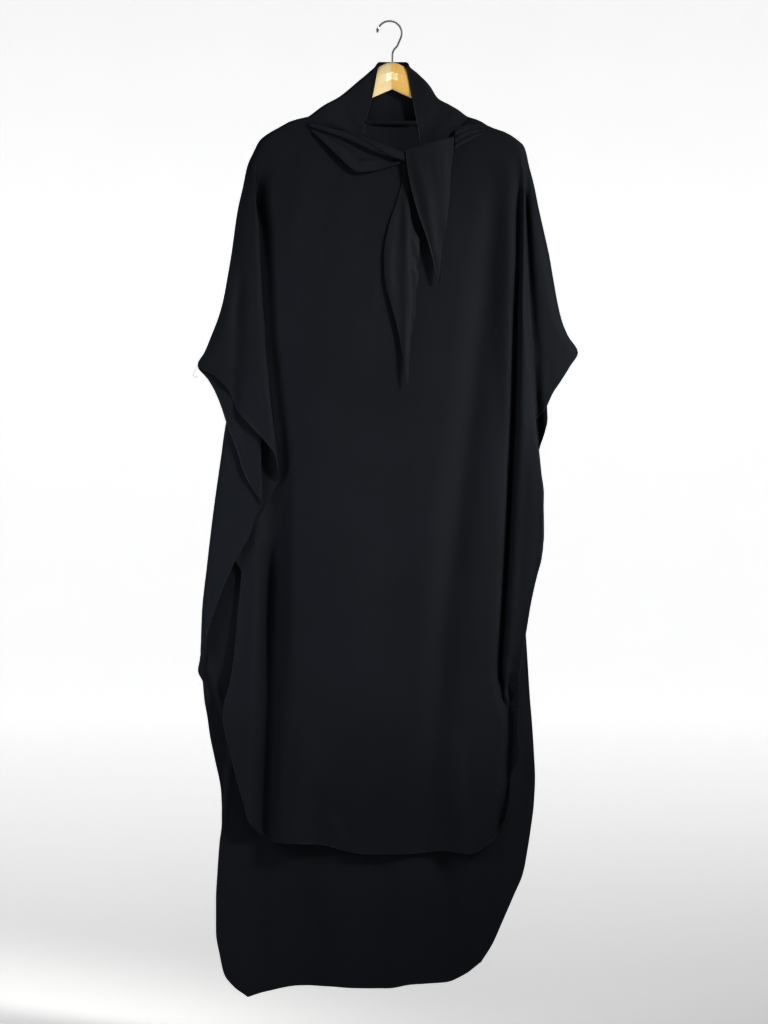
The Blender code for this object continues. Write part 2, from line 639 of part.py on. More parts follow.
def hood_points(front_border, back_border):
    """The hood; each border is the panel's neckline, as points (x, z)."""
    levels = np.arange(HOOD_TOP_BACK, -226.0, -HOOD_LEVEL_STEP)
    rings = np.array([hood_ring(z) for z in levels])
    columns = rings.shape[1]
    front = 4
    grid = []
    for column in range(columns):
        x = rings[:, column, 0]
        y = rings[:, column, 1]
        from_end = min(column, columns - 1 - column)
        rim = smoothstep((from_end - front) / 5.0)
        z_top = HOOD_TOP_FRONT + (HOOD_TOP_BACK - HOOD_TOP_FRONT) * rim
        border = front_border if from_end <= front + 2 else back_border
        gap = NECK_GAP + CORNER_GAP * float(bump(from_end - front - 2, 3.0))
        z_bottom = crossing(levels, levels - gap - np.interp(x, *border))
        z = np.linspace(z_top, z_bottom, HOOD_ROWS)
        order = levels[::-1]
        grid.append(np.stack([np.interp(z, order, x[::-1]), np.interp(z, order, y[::-1]), z],
                             axis=1))
    return np.array(grid).transpose(1, 0, 2)


def chin_points(border):
    """The chin piece, between the two sides of the hood, below the face opening."""
    top = CHIN_PROFILE[0][0]
    depth = top - CHIN_PROFILE[-1][0]
    grid = []
    for z, forward in CHIN_PROFILE:
        share = (top - z) / depth
        ends = []
        for table, way in ((OPENING_LEFT, 1), (OPENING_RIGHT, -1)):
            x = float(along(table, z))
            low = float(np.interp(x, *border)) + NECK_GAP
            ends.append(float(along(table, top + (low - top) * share)) + way * CHIN_GAP)
        x = np.linspace(ends[0], ends[1], CHIN_COLUMNS)
        height = top + (np.interp(x, *border) + NECK_GAP - top) * share
        y = front_depth(x, height) - forward * np.sin(math.pi * np.linspace(0.06, 0.94, len(x)))
        grid.append(np.stack([x, y, height], axis=1))
    return np.array(grid)


def short_tail_points():
    grid = []
    for share in np.linspace(0.0, 1.0, SHORT_TAIL_ROWS):
        z_left = SHORT_TAIL_LEFT[0][0] + (SHORT_TAIL_LEFT[-1][0] - SHORT_TAIL_LEFT[0][0]) * share
        z_right = (SHORT_TAIL_RIGHT[0][0]
                   + (SHORT_TAIL_RIGHT[-1][0] - SHORT_TAIL_RIGHT[0][0]) * share)
        across = np.linspace(0.0, 1.0, SHORT_TAIL_COLUMNS)
        x_left = float(along(SHORT_TAIL_LEFT, z_left))
        x_right = float(along(SHORT_TAIL_RIGHT, z_right))
        x = x_left + (x_right - x_left) * across
        z = z_left + (z_right - z_left) * across
        top_left, top_right, tip = SHORT_TAIL_LIFT
        top = top_left + (top_right - top_left) * across
        lift = tip + (top - tip) * (1 - smoothstep(share * 1.15))
        crown = 0.10 * (x_right - x_left) * (1 - (2 * across - 1) ** 2)
        grid.append(np.stack([x, cover_depth(x, z) - lift - crown, z], axis=1))
    return np.array(grid)


def long_tail_points():
    grid = []
    top = LONG_TAIL_LEFT[0][0]
    bottom = LONG_TAIL_LEFT[-1][0]
    for share in np.linspace(0.0, 1.0, LONG_TAIL_ROWS):
        z = top + (bottom - top) * share
        across = np.linspace(0.0, 1.0, LONG_TAIL_COLUMNS)
        x_left = float(along(LONG_TAIL_LEFT, z))
        x_right = float(along(LONG_TAIL_RIGHT, z))
        x = x_left + (x_right - x_left) * across
        lift = LONG_TAIL_LIFT[0] + (LONG_TAIL_LIFT[1] - LONG_TAIL_LIFT[0]) * share
        below_knot = float(smoothstep((-240.0 - z) / 60.0))
        crown = 0.05 * (x_right - x_left) * (1 - (2 * across - 1) ** 2) * below_knot
        ridge = 2.0 * bump(x - LONG_TAIL_FOLD, 6.0) * smoothstep((-280 - z) / 60)
        y = cover_depth(x, np.full(len(x), z)) - lift - crown - ridge
        grid.append(np.stack([x, y, np.full(len(x), z)], axis=1))
    return np.array(grid)


def loose_fold_points():
    """The slack of the left tie, from behind its roll to its free lower edge."""
    x = np.array([row[0] for row in LOOSE_FOLD_EDGE], dtype=float)
    low = np.array([row[1] for row in LOOSE_FOLD_EDGE], dtype=float)
    off = np.array([row[2] for row in LOOSE_FOLD_EDGE], dtype=float)
    roll = [(row[0], row[1] - 0.72 * row[2]) for row in LEFT_ROLL]
    high = along(roll, x)
    grid = []
    for share in np.linspace(0.0, 1.0, LOOSE_FOLD_ROWS):
        z = high + (low - high) * share
        lift = TIE_LIFT + (off - TIE_LIFT) * smoothstep(share * 1.1)
        grid.append(np.stack([x, cover_depth(x, z) - lift, z], axis=1))
    return np.array(grid)


def gather_points():
    """Pleats of the right tie, drawn together from the knot to the shoulder."""
    x_rows = [row[0] for row in GATHERS]
    top = [(row[0], row[1]) for row in GATHERS]
    bottom = [(row[0], row[2]) for row in GATHERS]
    grid = []
    for share in np.linspace(0.0, 1.0, GATHER_ROWS):
        x = np.linspace(x_rows[0], x_rows[-1], GATHER_STATIONS)
        z_top = along(top, x)
        z = z_top + (along(bottom, x) - z_top) * share
        wave = GATHER_HEIGHT * math.sin(GATHER_WAVES * math.pi * share) ** 2
        run = (x - x_rows[0]) / (x_rows[-1] - x_rows[0])
        lift = 5.5 - 3.7 * smoothstep(run * 1.1) + wave * (1 - 0.35 * run)
        grid.append(np.stack([x, cover_depth(x, z) - lift, z], axis=1))
    return np.array(grid)


def loft(name, rings, finish):
    """A closed solid through rings of points in millimetres, with flat ends."""
    mesh = bpy.data.meshes.new(name)
    form = bmesh.new()
    loops = [[form.verts.new(tuple(np.array(point) * MM)) for point in ring] for ring in rings]
    for near, far in zip(loops[:-1], loops[1:]):
        count = len(near)
        for k in range(count):
            form.faces.new((near[k], near[(k + 1) % count], far[(k + 1) % count], far[k]))
    form.faces.new(loops[0][::-1])
    form.faces.new(loops[-1])
    bmesh.ops.recalc_face_normals(form, faces=form.faces)
    form.to_mesh(mesh)
    form.free()
    mesh.shade_smooth()
    mesh.set_sharp_from_angle(angle=math.radians(50))
    made = bpy.data.objects.new(name, mesh)
    bpy.context.collection.objects.link(made)
    made.data.materials.append(finish)
    return made


def roll_rings():
    """Sections of the rolled left tie, square to its line from shoulder to knot."""
    x_rows = [row[0] for row in LEFT_ROLL]
    height = [(row[0], row[1]) for row in LEFT_ROLL]
    radius = [(row[0], row[2]) for row in LEFT_ROLL]
    rings = []
    for x in np.linspace(x_rows[0], x_rows[-1], ROLL_STATIONS):
        z = float(along(height, x))
        slope = float(along(height, x + 1.0) - along(height, x - 1.0)) / 2.0
        tilt = math.atan(slope)
        half = float(along(radius, x))
        deep = half * ROLL_FLATNESS
        near_knot = float(smoothstep((x + 20.0) / 30.0))
        off = deep + ROLL_LIFT[0] + (ROLL_LIFT[1] - ROLL_LIFT[0]) * near_knot
        ring = []
        for k in range(ROLL_SIDES):
            turn = 2 * math.pi * k / ROLL_SIDES
            up = half * math.cos(turn)
            px = x - up * math.sin(tilt)
            pz = z + up * math.cos(tilt)
            ring.append((px, float(cover_depth(px, pz)) - off - deep * math.sin(turn), pz))
        rings.append(ring)
    return rings


def arm_rings(way):
    """Rounded sections of one wooden arm, from the glue line to its tip."""
    top = [(row[0], row[1]) for row in ARM_PROFILE]
    bottom = [(row[0], row[2]) for row in ARM_PROFILE]
    rings = []
    for distance, _, _ in ARM_PROFILE:
        x = HANGER_CENTRE + way * max(distance, ARM_JOINT)
        lean = -math.tan(math.radians(HANGER_TILT)) * way * distance
        high = float(along(top, distance)) + lean
        low = float(along(bottom, distance)) + lean
        end = smoothstep((ARM_LENGTH + 2.0 - distance) / 14.0) ** 0.5
        half_y = ARM_THICKNESS / 2 * max(float(end), 0.35)
        half_z = (high - low) / 2
        middle_y = float(arm_line(x))
        ring = []
        for k in range(ARM_SIDES):
            turn = 2 * math.pi * (k + 0.5) / ARM_SIDES
            across = math.copysign(abs(math.sin(turn)) ** 0.55, math.sin(turn))
            up = math.copysign(abs(math.cos(turn)) ** 0.8, math.cos(turn))
            ring.append((x, middle_y + half_y * across, (high + low) / 2 + half_z * up))
        rings.append(ring)
    return rings


def hanger_arm(name, way, finish, stem_hole):
    arm = loft(name, arm_rings(way), finish)
    cut = arm.modifiers.new("Stem hole", "BOOLEAN")
    cut.operation = "DIFFERENCE"
    cut.solver = "EXACT"
    cut.object = stem_hole
    return arm


def stem_hole_cutter():
    form = bmesh.new()
    bmesh.ops.create_cone(form, cap_ends=True, segments=16, radius1=(WIRE / 2 + STEM_HOLE) * MM,
                          radius2=(WIRE / 2 + STEM_HOLE) * MM, depth=0.06)
    mesh = bpy.data.meshes.new("stem_hole")
    form.to_mesh(mesh)
    form.free()
    cutter = bpy.data.objects.new("stem_hole", mesh)
    bpy.context.collection.objects.link(cutter)
    cutter.location = (STEM_X * MM, 0.0, (STEM_LOW - STEM_HOLE) * MM + 0.03)
    cutter.hide_render = True
    cutter.display_type = "WIRE"
    return cutter


def hook(finish):
    centre_z = -(CROWN_RADIUS - WIRE / 2)
    route = []
    for degrees in np.linspace(CROWN_START, CROWN_END, 25):
        turn = math.radians(degrees)
        route.append((CROWN_CENTRE_X + CROWN_RADIUS * math.cos(turn),
                      centre_z + CROWN_RADIUS * math.sin(turn)))
    route += list(STEM_TURN)
    route += [(STEM_X, -60.0), (STEM_X, STEM_LOW)]
    curve = bpy.data.curves.new("hook", "CURVE")
    curve.dimensions = "3D"
    curve.bevel_depth = WIRE / 2 * MM
    curve.bevel_resolution = 3
    curve.use_fill_caps = True
    spline = curve.splines.new("POLY")
    spline.points.add(len(route) - 1)
    for k, (x, z) in enumerate(route):
        spline.points[k].co = (x * MM, 0.0, z * MM, 1.0)
        spline.points[k].radius = TIP_SWELL if 0 < k < 3 else 1.0
    made = bpy.data.objects.new("hook", curve)
    bpy.context.collection.objects.link(made)
    curve.materials.append(finish)
    return made


def main():
    remove_everything()
    crepe = material("black_crepe", (0.012, 0.013, 0.017), 0.75)
    left_wood = material("varnished_wood_pale", (0.83, 0.66, 0.40), 0.35)
    right_wood = material("varnished_wood_golden", (0.76, 0.55, 0.27), 0.35)
    steel = material("polished_steel", (0.62, 0.62, 0.63), 0.25, 1.0)

    front = panel_points(FRONT_LEFT, FRONT_RIGHT, LEFT_KNOTS, RIGHT_KNOTS,
                         (FOLD_COUNTS, FOLD_COUNTS), FRONT_NECKLINE, FRONT_HEM, FRONT_ROWS)
    cloth_object("front_panel", front, crepe)
    back = panel_points(BACK_LEFT, BACK_RIGHT, LEFT_KNOTS, PLAIN_KNOTS,
                        (FOLD_COUNTS, PLAIN_COUNTS), BACK_NECKLINE, BACK_HEM, BACK_ROWS)
    cloth_object("back_panel", back, crepe)
    front_border = (front[0, :, 0], front[0, :, 2])
    back_border = (back[0, :, 0], back[0, :, 2])
    cloth_object("hood", hood_points(front_border, back_border), crepe)
    cloth_object("chin_piece", chin_points(front_border), crepe)

    loft("left_tie_roll", roll_rings(), crepe)
    cloth_object("left_tie_loose_fold", loose_fold_points(), crepe)
    cloth_object("left_tie_long_tail", long_tail_points(), crepe)
    cloth_object("right_tie_gathers", gather_points(), crepe)
    cloth_object("right_tie_short_tail", short_tail_points(), crepe)

    cutter = stem_hole_cutter()
    hanger_arm("hanger_left_arm", -1, left_wood, cutter)
    hanger_arm("hanger_right_arm", 1, right_wood, cutter)
    hook(steel)


main()
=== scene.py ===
"""The looks of a long black crepe khimar that hangs on a wooden coat hanger.

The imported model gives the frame. Each sheet of cloth is laid out again here as a thin shell on the
middle of its solid, with its creases, hems and stitches. The garment faces -Y and +Z is up, with
the origin under the crown of the hanger's hook. Tables are in millimetres, across (x) and up (z)
from there, and meshes are made in metres.
"""
import math

import bpy
import numpy as np
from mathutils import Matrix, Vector


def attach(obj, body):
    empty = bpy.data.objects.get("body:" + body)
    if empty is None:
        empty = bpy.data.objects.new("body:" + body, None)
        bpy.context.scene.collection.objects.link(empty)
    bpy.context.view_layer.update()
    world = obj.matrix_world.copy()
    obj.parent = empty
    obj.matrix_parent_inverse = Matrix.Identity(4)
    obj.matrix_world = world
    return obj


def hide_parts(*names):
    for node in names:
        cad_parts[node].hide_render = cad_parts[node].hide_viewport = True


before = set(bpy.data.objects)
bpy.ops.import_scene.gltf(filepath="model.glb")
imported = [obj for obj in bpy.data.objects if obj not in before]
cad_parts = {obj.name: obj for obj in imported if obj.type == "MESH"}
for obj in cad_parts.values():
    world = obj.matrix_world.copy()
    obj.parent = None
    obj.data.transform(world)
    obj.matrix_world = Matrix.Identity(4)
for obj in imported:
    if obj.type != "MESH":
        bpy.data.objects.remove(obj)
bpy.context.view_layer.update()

MM = 0.001

# Cloth
WALL = 1.2               # thickness of the solids' walls, whose middle the cloth follows
CLOTH = 0.7              # thickness of the crepe as drawn
HALF_SEAM = CLOTH / 2    # the two wings touch along the arm seam
LEVEL_STEP = 4.0         # height between two worked-out sections of a panel
FINE_STEP = 6.4          # widest mesh of the panels, across and down
SPACING_HEIGHTS = (-500, -800, -1150)   # where the main columns are measured for it
FOLD_PARTS = {-1: (5, 4, 4, 22), 1: (6, 8, 8, 7)}   # columns beside a long fold, by side
FOLD_HEIGHT = -900.0
EDGE_COLUMNS = (0.0, 2.0, 7.0, 16.0)   # distance of the outermost columns from the edge
EDGE_SQUEEZE = 1.2       # spacing of the columns that an edge has overtaken
SEAM_ROLL = 16.0         # width over which front and back close up to their seam
SHOULDER_ROLL = 8.0      # the same where the seam lies on the hanger
CUFF_EASE = 30.0         # height over which they part below the cuff
SEAM_FROM_HEM = 60.0     # an arm seam counts as this far from the nearest hem

# Hanger
HANGER_CENTRE = 3.5      # x of the neck of the hanger
ARM_LENGTH = 208.0       # from the centre joint to the tip of an arm
ARMS_END_Z = -214.0      # below it the panels no longer follow the arms
ARMS_END_EASE = 50.0     # height over which they leave them
ARM_THICKNESS = 13.0
ARM_BEND = 18.0          # how far the tips come forward
ARM_CLEARANCE = 0.6      # from the wood to the cloth on it

# Depths, -y is the front
CLOTH_ON_ARM = ARM_THICKNESS / 2 + ARM_CLEARANCE + WALL / 2
FRONT_DEPTH = -31.0      # front panel below the shoulders
BACK_DEPTH = 16.0        # back panel below the shoulders
SHOULDER_Z = -165.0
DROP = 235.0             # height over which the panels leave the hanger's arms
FRONT_BOW = 3.0          # how far each panel bends back or forward at BOW_REACH
BACK_BOW = 9.0
BOW_REACH = 250.0

# Outline of the arm seams and of the two side hems, by layer. Each run is (layer, rows of z, x).
# The sleeve's wing is folded in a Z against the body, so a side hem first runs down the wing,
# then up the layer that is turned under, and then down the body.
FRONT_LEFT_EDGE = (
    ("wing", ((-163, -140), (-170, -168), (-180, -186), (-192, -207), (-204, -222), (-225, -233),
              (-247, -243), (-285, -251), (-326, -260), (-398, -270), (-440, -277), (-478, -284),
              (-507, -292), (-538, -304), (-567, -316), (-589, -328), (-606, -299), (-632, -275),
              (-669, -258), (-690, -239), (-719, -212), (-740, -196))),
    ("under", ((-788, -190), (-803, -199), (-846, -221), (-887, -247))),
    ("body", ((-938, -253), (-972, -256), (-1006, -260), (-1044, -263), (-1099, -268),
              (-1136, -275), (-1170, -284), (-1189, -285), (-1241, -275), (-1309, -258),
              (-1335, -250), (-1362, -244), (-1379, -234), (-1393, -222))),
)
BACK_LEFT_EDGE = (
    ("wing", FRONT_LEFT_EDGE[0][1][:16]
     + ((-613, -310), (-634, -298), (-661, -287), (-683, -280), (-699, -274), (-733, -261),
        (-769, -250), (-800, -234))),
    ("under", ((-838, -226), (-852, -232), (-882, -241), (-907, -256), (-935, -270),
               (-972, -286), (-1013, -301), (-1039, -310), (-1072, -317))),
    ("body", ((-1126, -321), (-1160, -318), (-1189, -313), (-1225, -308), (-1258, -301),
              (-1323, -289), (-1372, -288), (-1406, -292), (-1463, -296), (-1502, -298),
              (-1557, -298), (-1600, -291), (-1630, -284), (-1653, -267), (-1670, -243))),
)
FRONT_RIGHT_EDGE = (
    ("wing", ((-163, 133), (-170, 154), (-180, 169), (-189, 195), (-203, 217), (-215, 229),
              (-251, 238), (-281, 246), (-315, 253), (-360, 263), (-401, 272), (-442, 279),
              (-486, 287), (-514, 294), (-538, 304), (-567, 321), (-589, 308), (-616, 291),
              (-637, 277), (-657, 268), (-669, 261), (-677, 251))),
    ("under", ((-730, 244), (-784, 248), (-852, 252), (-890, 254))),
    ("body", ((-945, 251), (-970, 245), (-1005, 238), (-1037, 233), (-1068, 227), (-1092, 224),
              (-1126, 221), (-1159, 220), (-1224, 219), (-1241, 222), (-1258, 221),
              (-1275, 213), (-1292, 206), (-1333, 205), (-1350, 202), (-1383, 189),
              (-1397, 181))),
)
BACK_RIGHT_EDGE = (
    ("wing", FRONT_RIGHT_EDGE[0][1][:20]
     + ((-680, 269), (-700, 265), (-729, 256), (-818, 239), (-921, 233), (-989, 229),
        (-1058, 233), (-1107, 236), (-1153, 239), (-1201, 243), (-1249, 246), (-1294, 248),
        (-1338, 246), (-1379, 241), (-1425, 234), (-1459, 227), (-1494, 212), (-1538, 193),
        (-1581, 174), (-1610, 156))),
)

# Turns of the Z folds, rows of (z, x): the outer turn lies furthest from the middle.
FRONT_LEFT_OUTER_TURN = ((-200, -205), (-240, -215), (-280, -226), (-367, -236), (-456, -245),
                         (-551, -253), (-640, -260), (-724, -263), (-818, -263), (-907, -262),
                         (-950, -280), (-1100, -310))
FRONT_LEFT_INNER_TURN = ((-200, -218), (-240, -230), (-280, -232), (-319, -228), (-367, -223),
                         (-411, -221), (-456, -219), (-504, -217), (-551, -214), (-584, -210),
                         (-640, -205), (-724, -195), (-784, -188))
BACK_LEFT_OUTER_TURN = ((-200, -210), (-240, -222), (-280, -233), (-367, -243), (-456, -250),
                        (-551, -257), (-613, -266), (-647, -272), (-699, -282), (-750, -289),
                        (-813, -298), (-851, -303), (-892, -308), (-936, -313), (-977, -318),
                        (-1008, -321), (-1058, -323), (-1092, -325), (-1150, -345))
BACK_LEFT_INNER_TURN = ((-200, -221), (-240, -234), (-280, -237), (-319, -232), (-367, -227),
                        (-456, -220), (-551, -213), (-640, -213), (-740, -220), (-820, -217))
FRONT_RIGHT_OUTER_TURN = ((-215, 220), (-245, 225), (-261, 228), (-322, 231), (-391, 232),
                          (-459, 233), (-528, 236), (-589, 240), (-647, 244), (-690, 248),
                          (-728, 253), (-764, 257), (-810, 262), (-883, 262), (-916, 258))
FRONT_RIGHT_INNER_TURN = ((-215, 224), (-245, 230), (-261, 230), (-322, 226), (-391, 225),
                          (-459, 224), (-528, 225), (-589, 225), (-647, 224), (-690, 229),
                          (-728, 236), (-764, 241), (-883, 246))

# Long folds of the body, rows of (z, x).
LEFT_VALLEY = ((-600, -190), (-820, -204), (-1100, -207), (-1424, -210), (-1670, -215))
RIGHT_GROOVE = ((-215, 220), (-245, 222), (-391, 221), (-528, 217), (-681, 214), (-784, 209),
                (-921, 202), (-1023, 196), (-1126, 190), (-1177, 199), (-1205, 208), (-1400, 170))
SOFT_DIAGONAL = ((-240, 198), (-579, 154), (-784, 128), (-1023, 94), (-1400, 60))
PLAIN_LINE = ((-163, 160), (-1700, 165))   # no fold, only columns on the back panel's right

# Soft folds of the hung panels. In front (line, depth, width, start, over): each begins below its
# start and is full so much lower. At the back (x, depth, width), all with one start.
FRONT_FOLDS = ((SOFT_DIAGONAL, 6.0, 24.0, -230.0, 250.0), (LEFT_VALLEY, 9.0, 20.0, -560.0, 300.0))
BELLY_RISE = (3.0, -60.0, 90.0, -400.0, 300.0)   # rise, x, width, start, over
BACK_FOLDS = ((-208, -6.0, 20.0), (-150, 5.0, 30.0), (20, -5.0, 40.0), (92, 5.0, 26.0),
              (165, -4.0, 24.0))
BACK_FOLDS_BELOW = (-420.0, 420.0)

# Z folds: the radii of a side's two turns, outer and inner, and the depth of the whole stack. Each
# fold opens below a start over so many millimetres, and the left ones end in the same way.
LEFT_RADII_FRONT = (3.0, 10.5)
LEFT_RADII_BACK = (10.5, 3.0)
RIGHT_RADII = (4.0, 4.0)
LEFT_STACK = 2 * sum(LEFT_RADII_FRONT)
RIGHT_STACK = 2 * sum(RIGHT_RADII)
LEFT_FOLD_BELOW = (-225.0, 105.0)
RIGHT_FOLD_BELOW = (-225.0, 115.0)
FOLDS_END_BELOW = (-1000.0, 220.0)
FLAT_FOLD = 0.01         # strength of a fold above its start
LEAST_FOLD = 0.03        # a Z fold with less strength than this is still flat
PRESSED = 0.45           # width over depth of the turn at the inner edge of a wing
LEFT_FRONT_EDGE_X = -250.0   # where the left edges have the body's own depth below the folds
LEFT_BACK_EDGE_X = -300.0
RIGHT_FREE_BELOW = (-600.0, 250.0)   # where the back panel's right edge leaves the front panel
RIGHT_FREE_DEPTH = -2.0
PLAIN_WING = (225.0, 12.0)   # x where its right side leaves the body, and over how much

# Sections of a panel, cut level
BODY_POINTS = 81
TURN_POINTS = 13
WING_POINTS = 41
WING_REACH = 200.0       # the wing goes on past any edge
PLAIN_POINTS = 121
PLAIN_REACH = 360.0
PLAIN_EASE = (120.0, 110.0)    # x where a side without a Z fold leaves the body's own depth for
                               # the level of its edge, and over how much
EASE_BEHIND = (10.0, 52.0)     # where a side with its wing behind is level, before its turn, and
                               # over how much it gets there
EASE_IN_FRONT = (1.0, 26.0)    # the same for a side with its wing in front
LAYER_EASE = 6           # points of the turns that belong to the layers beside them
WING_EASE = 4.0          # of the cloth over which body passes into turn, and turn into wing
KNOT_GAP = 0.5           # least spacing of the body's main columns
FOLD_KNOTS = (-24, -9, 0, 9)   # main columns beside a long fold
FOLD_COUNTS = (3, 2, 3, 3)     # main columns on outer turn, layer turned under, inner turn, wing
PLAIN_COUNTS = (0, 0, 0, 3)

# Depth tables, rows of (z, y).
LEFT_WING_DEPTH = ((-163, -15), (-206, -26), (-300, -34), (-420, -43), (-500, -46), (-820, -46),
                   (-1100, -40), (-1700, -34))
RIGHT_STRIP_DEPTH = ((-163, -15), (-206, -26), (-300, -33), (-420, -38), (-800, -42),
                     (-1100, -40), (-1400, -34))
HALF_GAP = ((-163, CLOTH_ON_ARM), (-212, CLOTH_ON_ARM), (-290, 3.75), (-1700, 3.75))

# Necklines and bottom hems, rows of (x, z).
FRONT_NECKLINE = ((-140, -163), (-120, -180), (-86, -194), (-58, -203), (-14, -215), (5, -220),
                  (38, -218), (82, -206), (109, -196), (133, -163))
BACK_NECKLINE = ((-140, -163), (-110, -175), (-60, -182), (0, -185), (60, -182), (105, -175),
                 (133, -163))
FRONT_HEM = ((-222, -1393), (-202, -1403), (-164, -1405), (-113, -1408), (-80, -1417),
             (-36, -1424), (0, -1424), (48, -1422), (92, -1418), (139, -1423), (161, -1412),
             (181, -1397))
BACK_HEM = ((-243, -1670), (-221, -1663), (-190, -1656), (-157, -1651), (-99, -1653),
            (-55, -1656), (-7, -1656), (36, -1649), (96, -1646), (128, -1632), (156, -1610))

# Heights of the mesh rows, taken at the side edges.
ROWS_TO_CUFF = (-163, -172, -183, -195, -206, -222, -250, -290, -340, -400, -460, -520, -567,
                -589)
FRONT_ROWS = ROWS_TO_CUFF + (-618, -660, -700, -740, -788, -830, -880, -930, -980, -1030, -1090,
                             -1150, -1205, -1258, -1300, -1340, -1370, -1393)
BACK_ROWS = ROWS_TO_CUFF + (-634, -683, -733, -800, -850, -907, -972, -1030, -1092, -1160, -1225,
                            -1300, -1372, -1450, -1530, -1600, -1640, -1670)

HEM_ROWS = (16.0, 11.0, 7.0, 4.5, 2.0, 1.0, 0.0)   # heights of the last rows above the hem
CUFF_ROW = -589.0        # rows above it are alike on all edges, so that the arm seams meet

# Hood, rows of (z, x)
HOOD_LEFT = ((-68, -20), (-76, -25), (-86, -36), (-109, -63), (-129, -88), (-143, -113),
             (-163, -140), (-200, -200))
HOOD_RIGHT = ((-68, 30), (-76, 33), (-88, 47), (-110, 68), (-131, 82), (-143, 103),
              (-163, 133), (-200, 190))
OPENING_LEFT = ((-74, -20), (-131, -31), (-170, -41), (-225, -45))
OPENING_RIGHT = ((-76, 28), (-134, 38), (-179, 46), (-225, 53))
HOOD_TOP_FRONT = -75.0
HOOD_TOP_BACK = -68.0
HOOD_BOTTOM = -226.0
HOOD_PINCH_BELOW = (-148.0, 15.0)   # where front and back close up beside the neck
HOOD_FOLD = ((-68, 12.0), (-84, 12.0), (-110, 8.5), (-163, 8.0))   # width of its side turns by z
HOOD_LEVEL_STEP = 2.0
HOOD_ROWS = 64
HOOD_FACE_COLUMNS = 22
HOOD_TURN_COLUMNS = 15
HOOD_BACK_COLUMNS = 52
HOOD_TURN_SHARE = 0.6    # most of the way from edge to face opening that a side turn takes

# Chin piece, rows of (z, forward): its rolled top edge, the stitched groove and the flat below.
CHIN_PROFILE = ((-170, 0.6), (-171.5, 3.0), (-174.5, 2.8), (-176, -8.5), (-179.5, -9.5),
                (-182.5, -2.6), (-196, -2.8), (-206, -1.5), (-222, 0.0))
CHIN_COLUMNS = 33
CHIN_ROWS = 34
CHIN_INSET = -1.5        # the chin piece runs on behind the hood's two edges
CHIN_ARCH = (0.06, 0.94)   # part of a half wave that it bends forward in

# Right tie's tail, rows of (z, x) down its two edges. It hangs in front of all else.
SHORT_TAIL_LEFT = ((-220, 26), (-247, 29), (-278, 34), (-331, 48), (-374, 63), (-413, 74),
                   (-444, 83))
SHORT_TAIL_RIGHT = ((-198, 109), (-218, 108), (-259, 103), (-298, 101), (-346, 96), (-392, 91),
                    (-430, 87), (-447, 85))
SHORT_TAIL_ROWS = 100
SHORT_TAIL_COLUMNS = 34
SHORT_TAIL_LIFT = (12.75, 9.0, 11.0)   # off the panel: top left, top right, tip
SHORT_TAIL_CROWN = 0.10  # height of its arch over its width
SHORT_TAIL_CURL = 1.5

# Left tie's tail, behind the short one
LONG_TAIL_LEFT = ((-236, 20), (-262, 22), (-309, 11), (-355, -3), (-401, -10), (-439, -9),
                  (-478, 0), (-524, 12), (-570, 21), (-622, 28))
LONG_TAIL_RIGHT = ((-236, 33), (-262, 32), (-309, 33), (-327, 34), (-355, 40), (-377, 50),
                   (-401, 50), (-420, 46), (-436, 49), (-463, 44), (-502, 43), (-524, 39),
                   (-555, 34), (-586, 32), (-622, 30))
LONG_TAIL_ROWS = 150
LONG_TAIL_COLUMNS = 26
LONG_TAIL_LIFT = (2.3, 9.0)    # off the panel: at the knot and at the tip
LONG_TAIL_CROWN = 0.05
LONG_TAIL_ARCHED_BELOW = (-240.0, 60.0)
LONG_TAIL_FOLD = 26.0    # x of the fold that runs down its middle
LONG_TAIL_FOLD_HEIGHT = 2.0
LONG_TAIL_FOLD_WIDTH = 6.0
LONG_TAIL_FOLDED_BELOW = (-280.0, 60.0)

# Left tie's roll, rows of (x, z, half height), from the shoulder to the knot
LEFT_ROLL = ((-137, -177, 4.0), (-112, -184, 5.5), (-87, -191, 7.0), (-58, -202, 8.5),
             (-22, -217, 11.0), (4, -226, 9.5), (20, -231, 8.5), (34, -236, 7.0))
ROLL_FLATNESS = 0.5      # half depth over half height
ROLL_STATIONS = 90
ROLL_LIFT = (4.0, 5.0)   # from the panel's middle to the back of the roll, shoulder and knot
ROLL_KNOT_END = (-20.0, 30.0)  # x where it starts to rise to the knot, and over how much
ROLL_TURNS = (-3.4, 5.4)       # radians, from the inner end of the wound strip to the outer
ROLL_SECTION_POINTS = 46
ROLL_HEART = 0.55        # size of the inmost turn over the outmost
ROLL_TWIST = 0.022       # radians a millimetre
ROLL_PLEAT = 0.10

# Loose fold of the left tie below its roll, rows of (x, z, off the panel) along its lower edge
LOOSE_FOLD_EDGE = ((-134, -188, 2.4), (-118, -203, 5.0), (-92, -228, 7.0), (-65, -253, 8.0),
                   (-53, -259, 8.0), (-31, -257, 7.5), (-2, -249, 6.5), (18, -243, 6.0))
LOOSE_FOLD_ROWS = 26
LOOSE_FOLD_COLUMNS = 80
LOOSE_FOLD_STAND = 1.35  # times the heights in its table
LOOSE_FOLD_RISE = (0.34, 0.5)  # share of its width where it leaves the panel, and over how much
BEHIND_ROLL = 0.72       # share of the roll's half height that its upper edge goes below the middle
TIE_LIFT = 2.1           # least distance from the middle of a tie's cloth to the panel's

# Gathers of the right tie, rows of (x, z top, z bottom), from the knot to the shoulder
GATHERS = ((110, -187, -221), (118, -182, -214), (131, -178, -207), (147, -176, -199),
           (162, -181, -192))
GATHER_WAVES = 3
GATHER_HEIGHT = 2.4
GATHER_ROWS = 44
GATHER_STATIONS = 32
GATHER_LIFT = (5.5, 1.8)   # off the panel: at the knot and at the shoulder
GATHER_FLATTER = 0.35    # share of their height that they lose on the way there

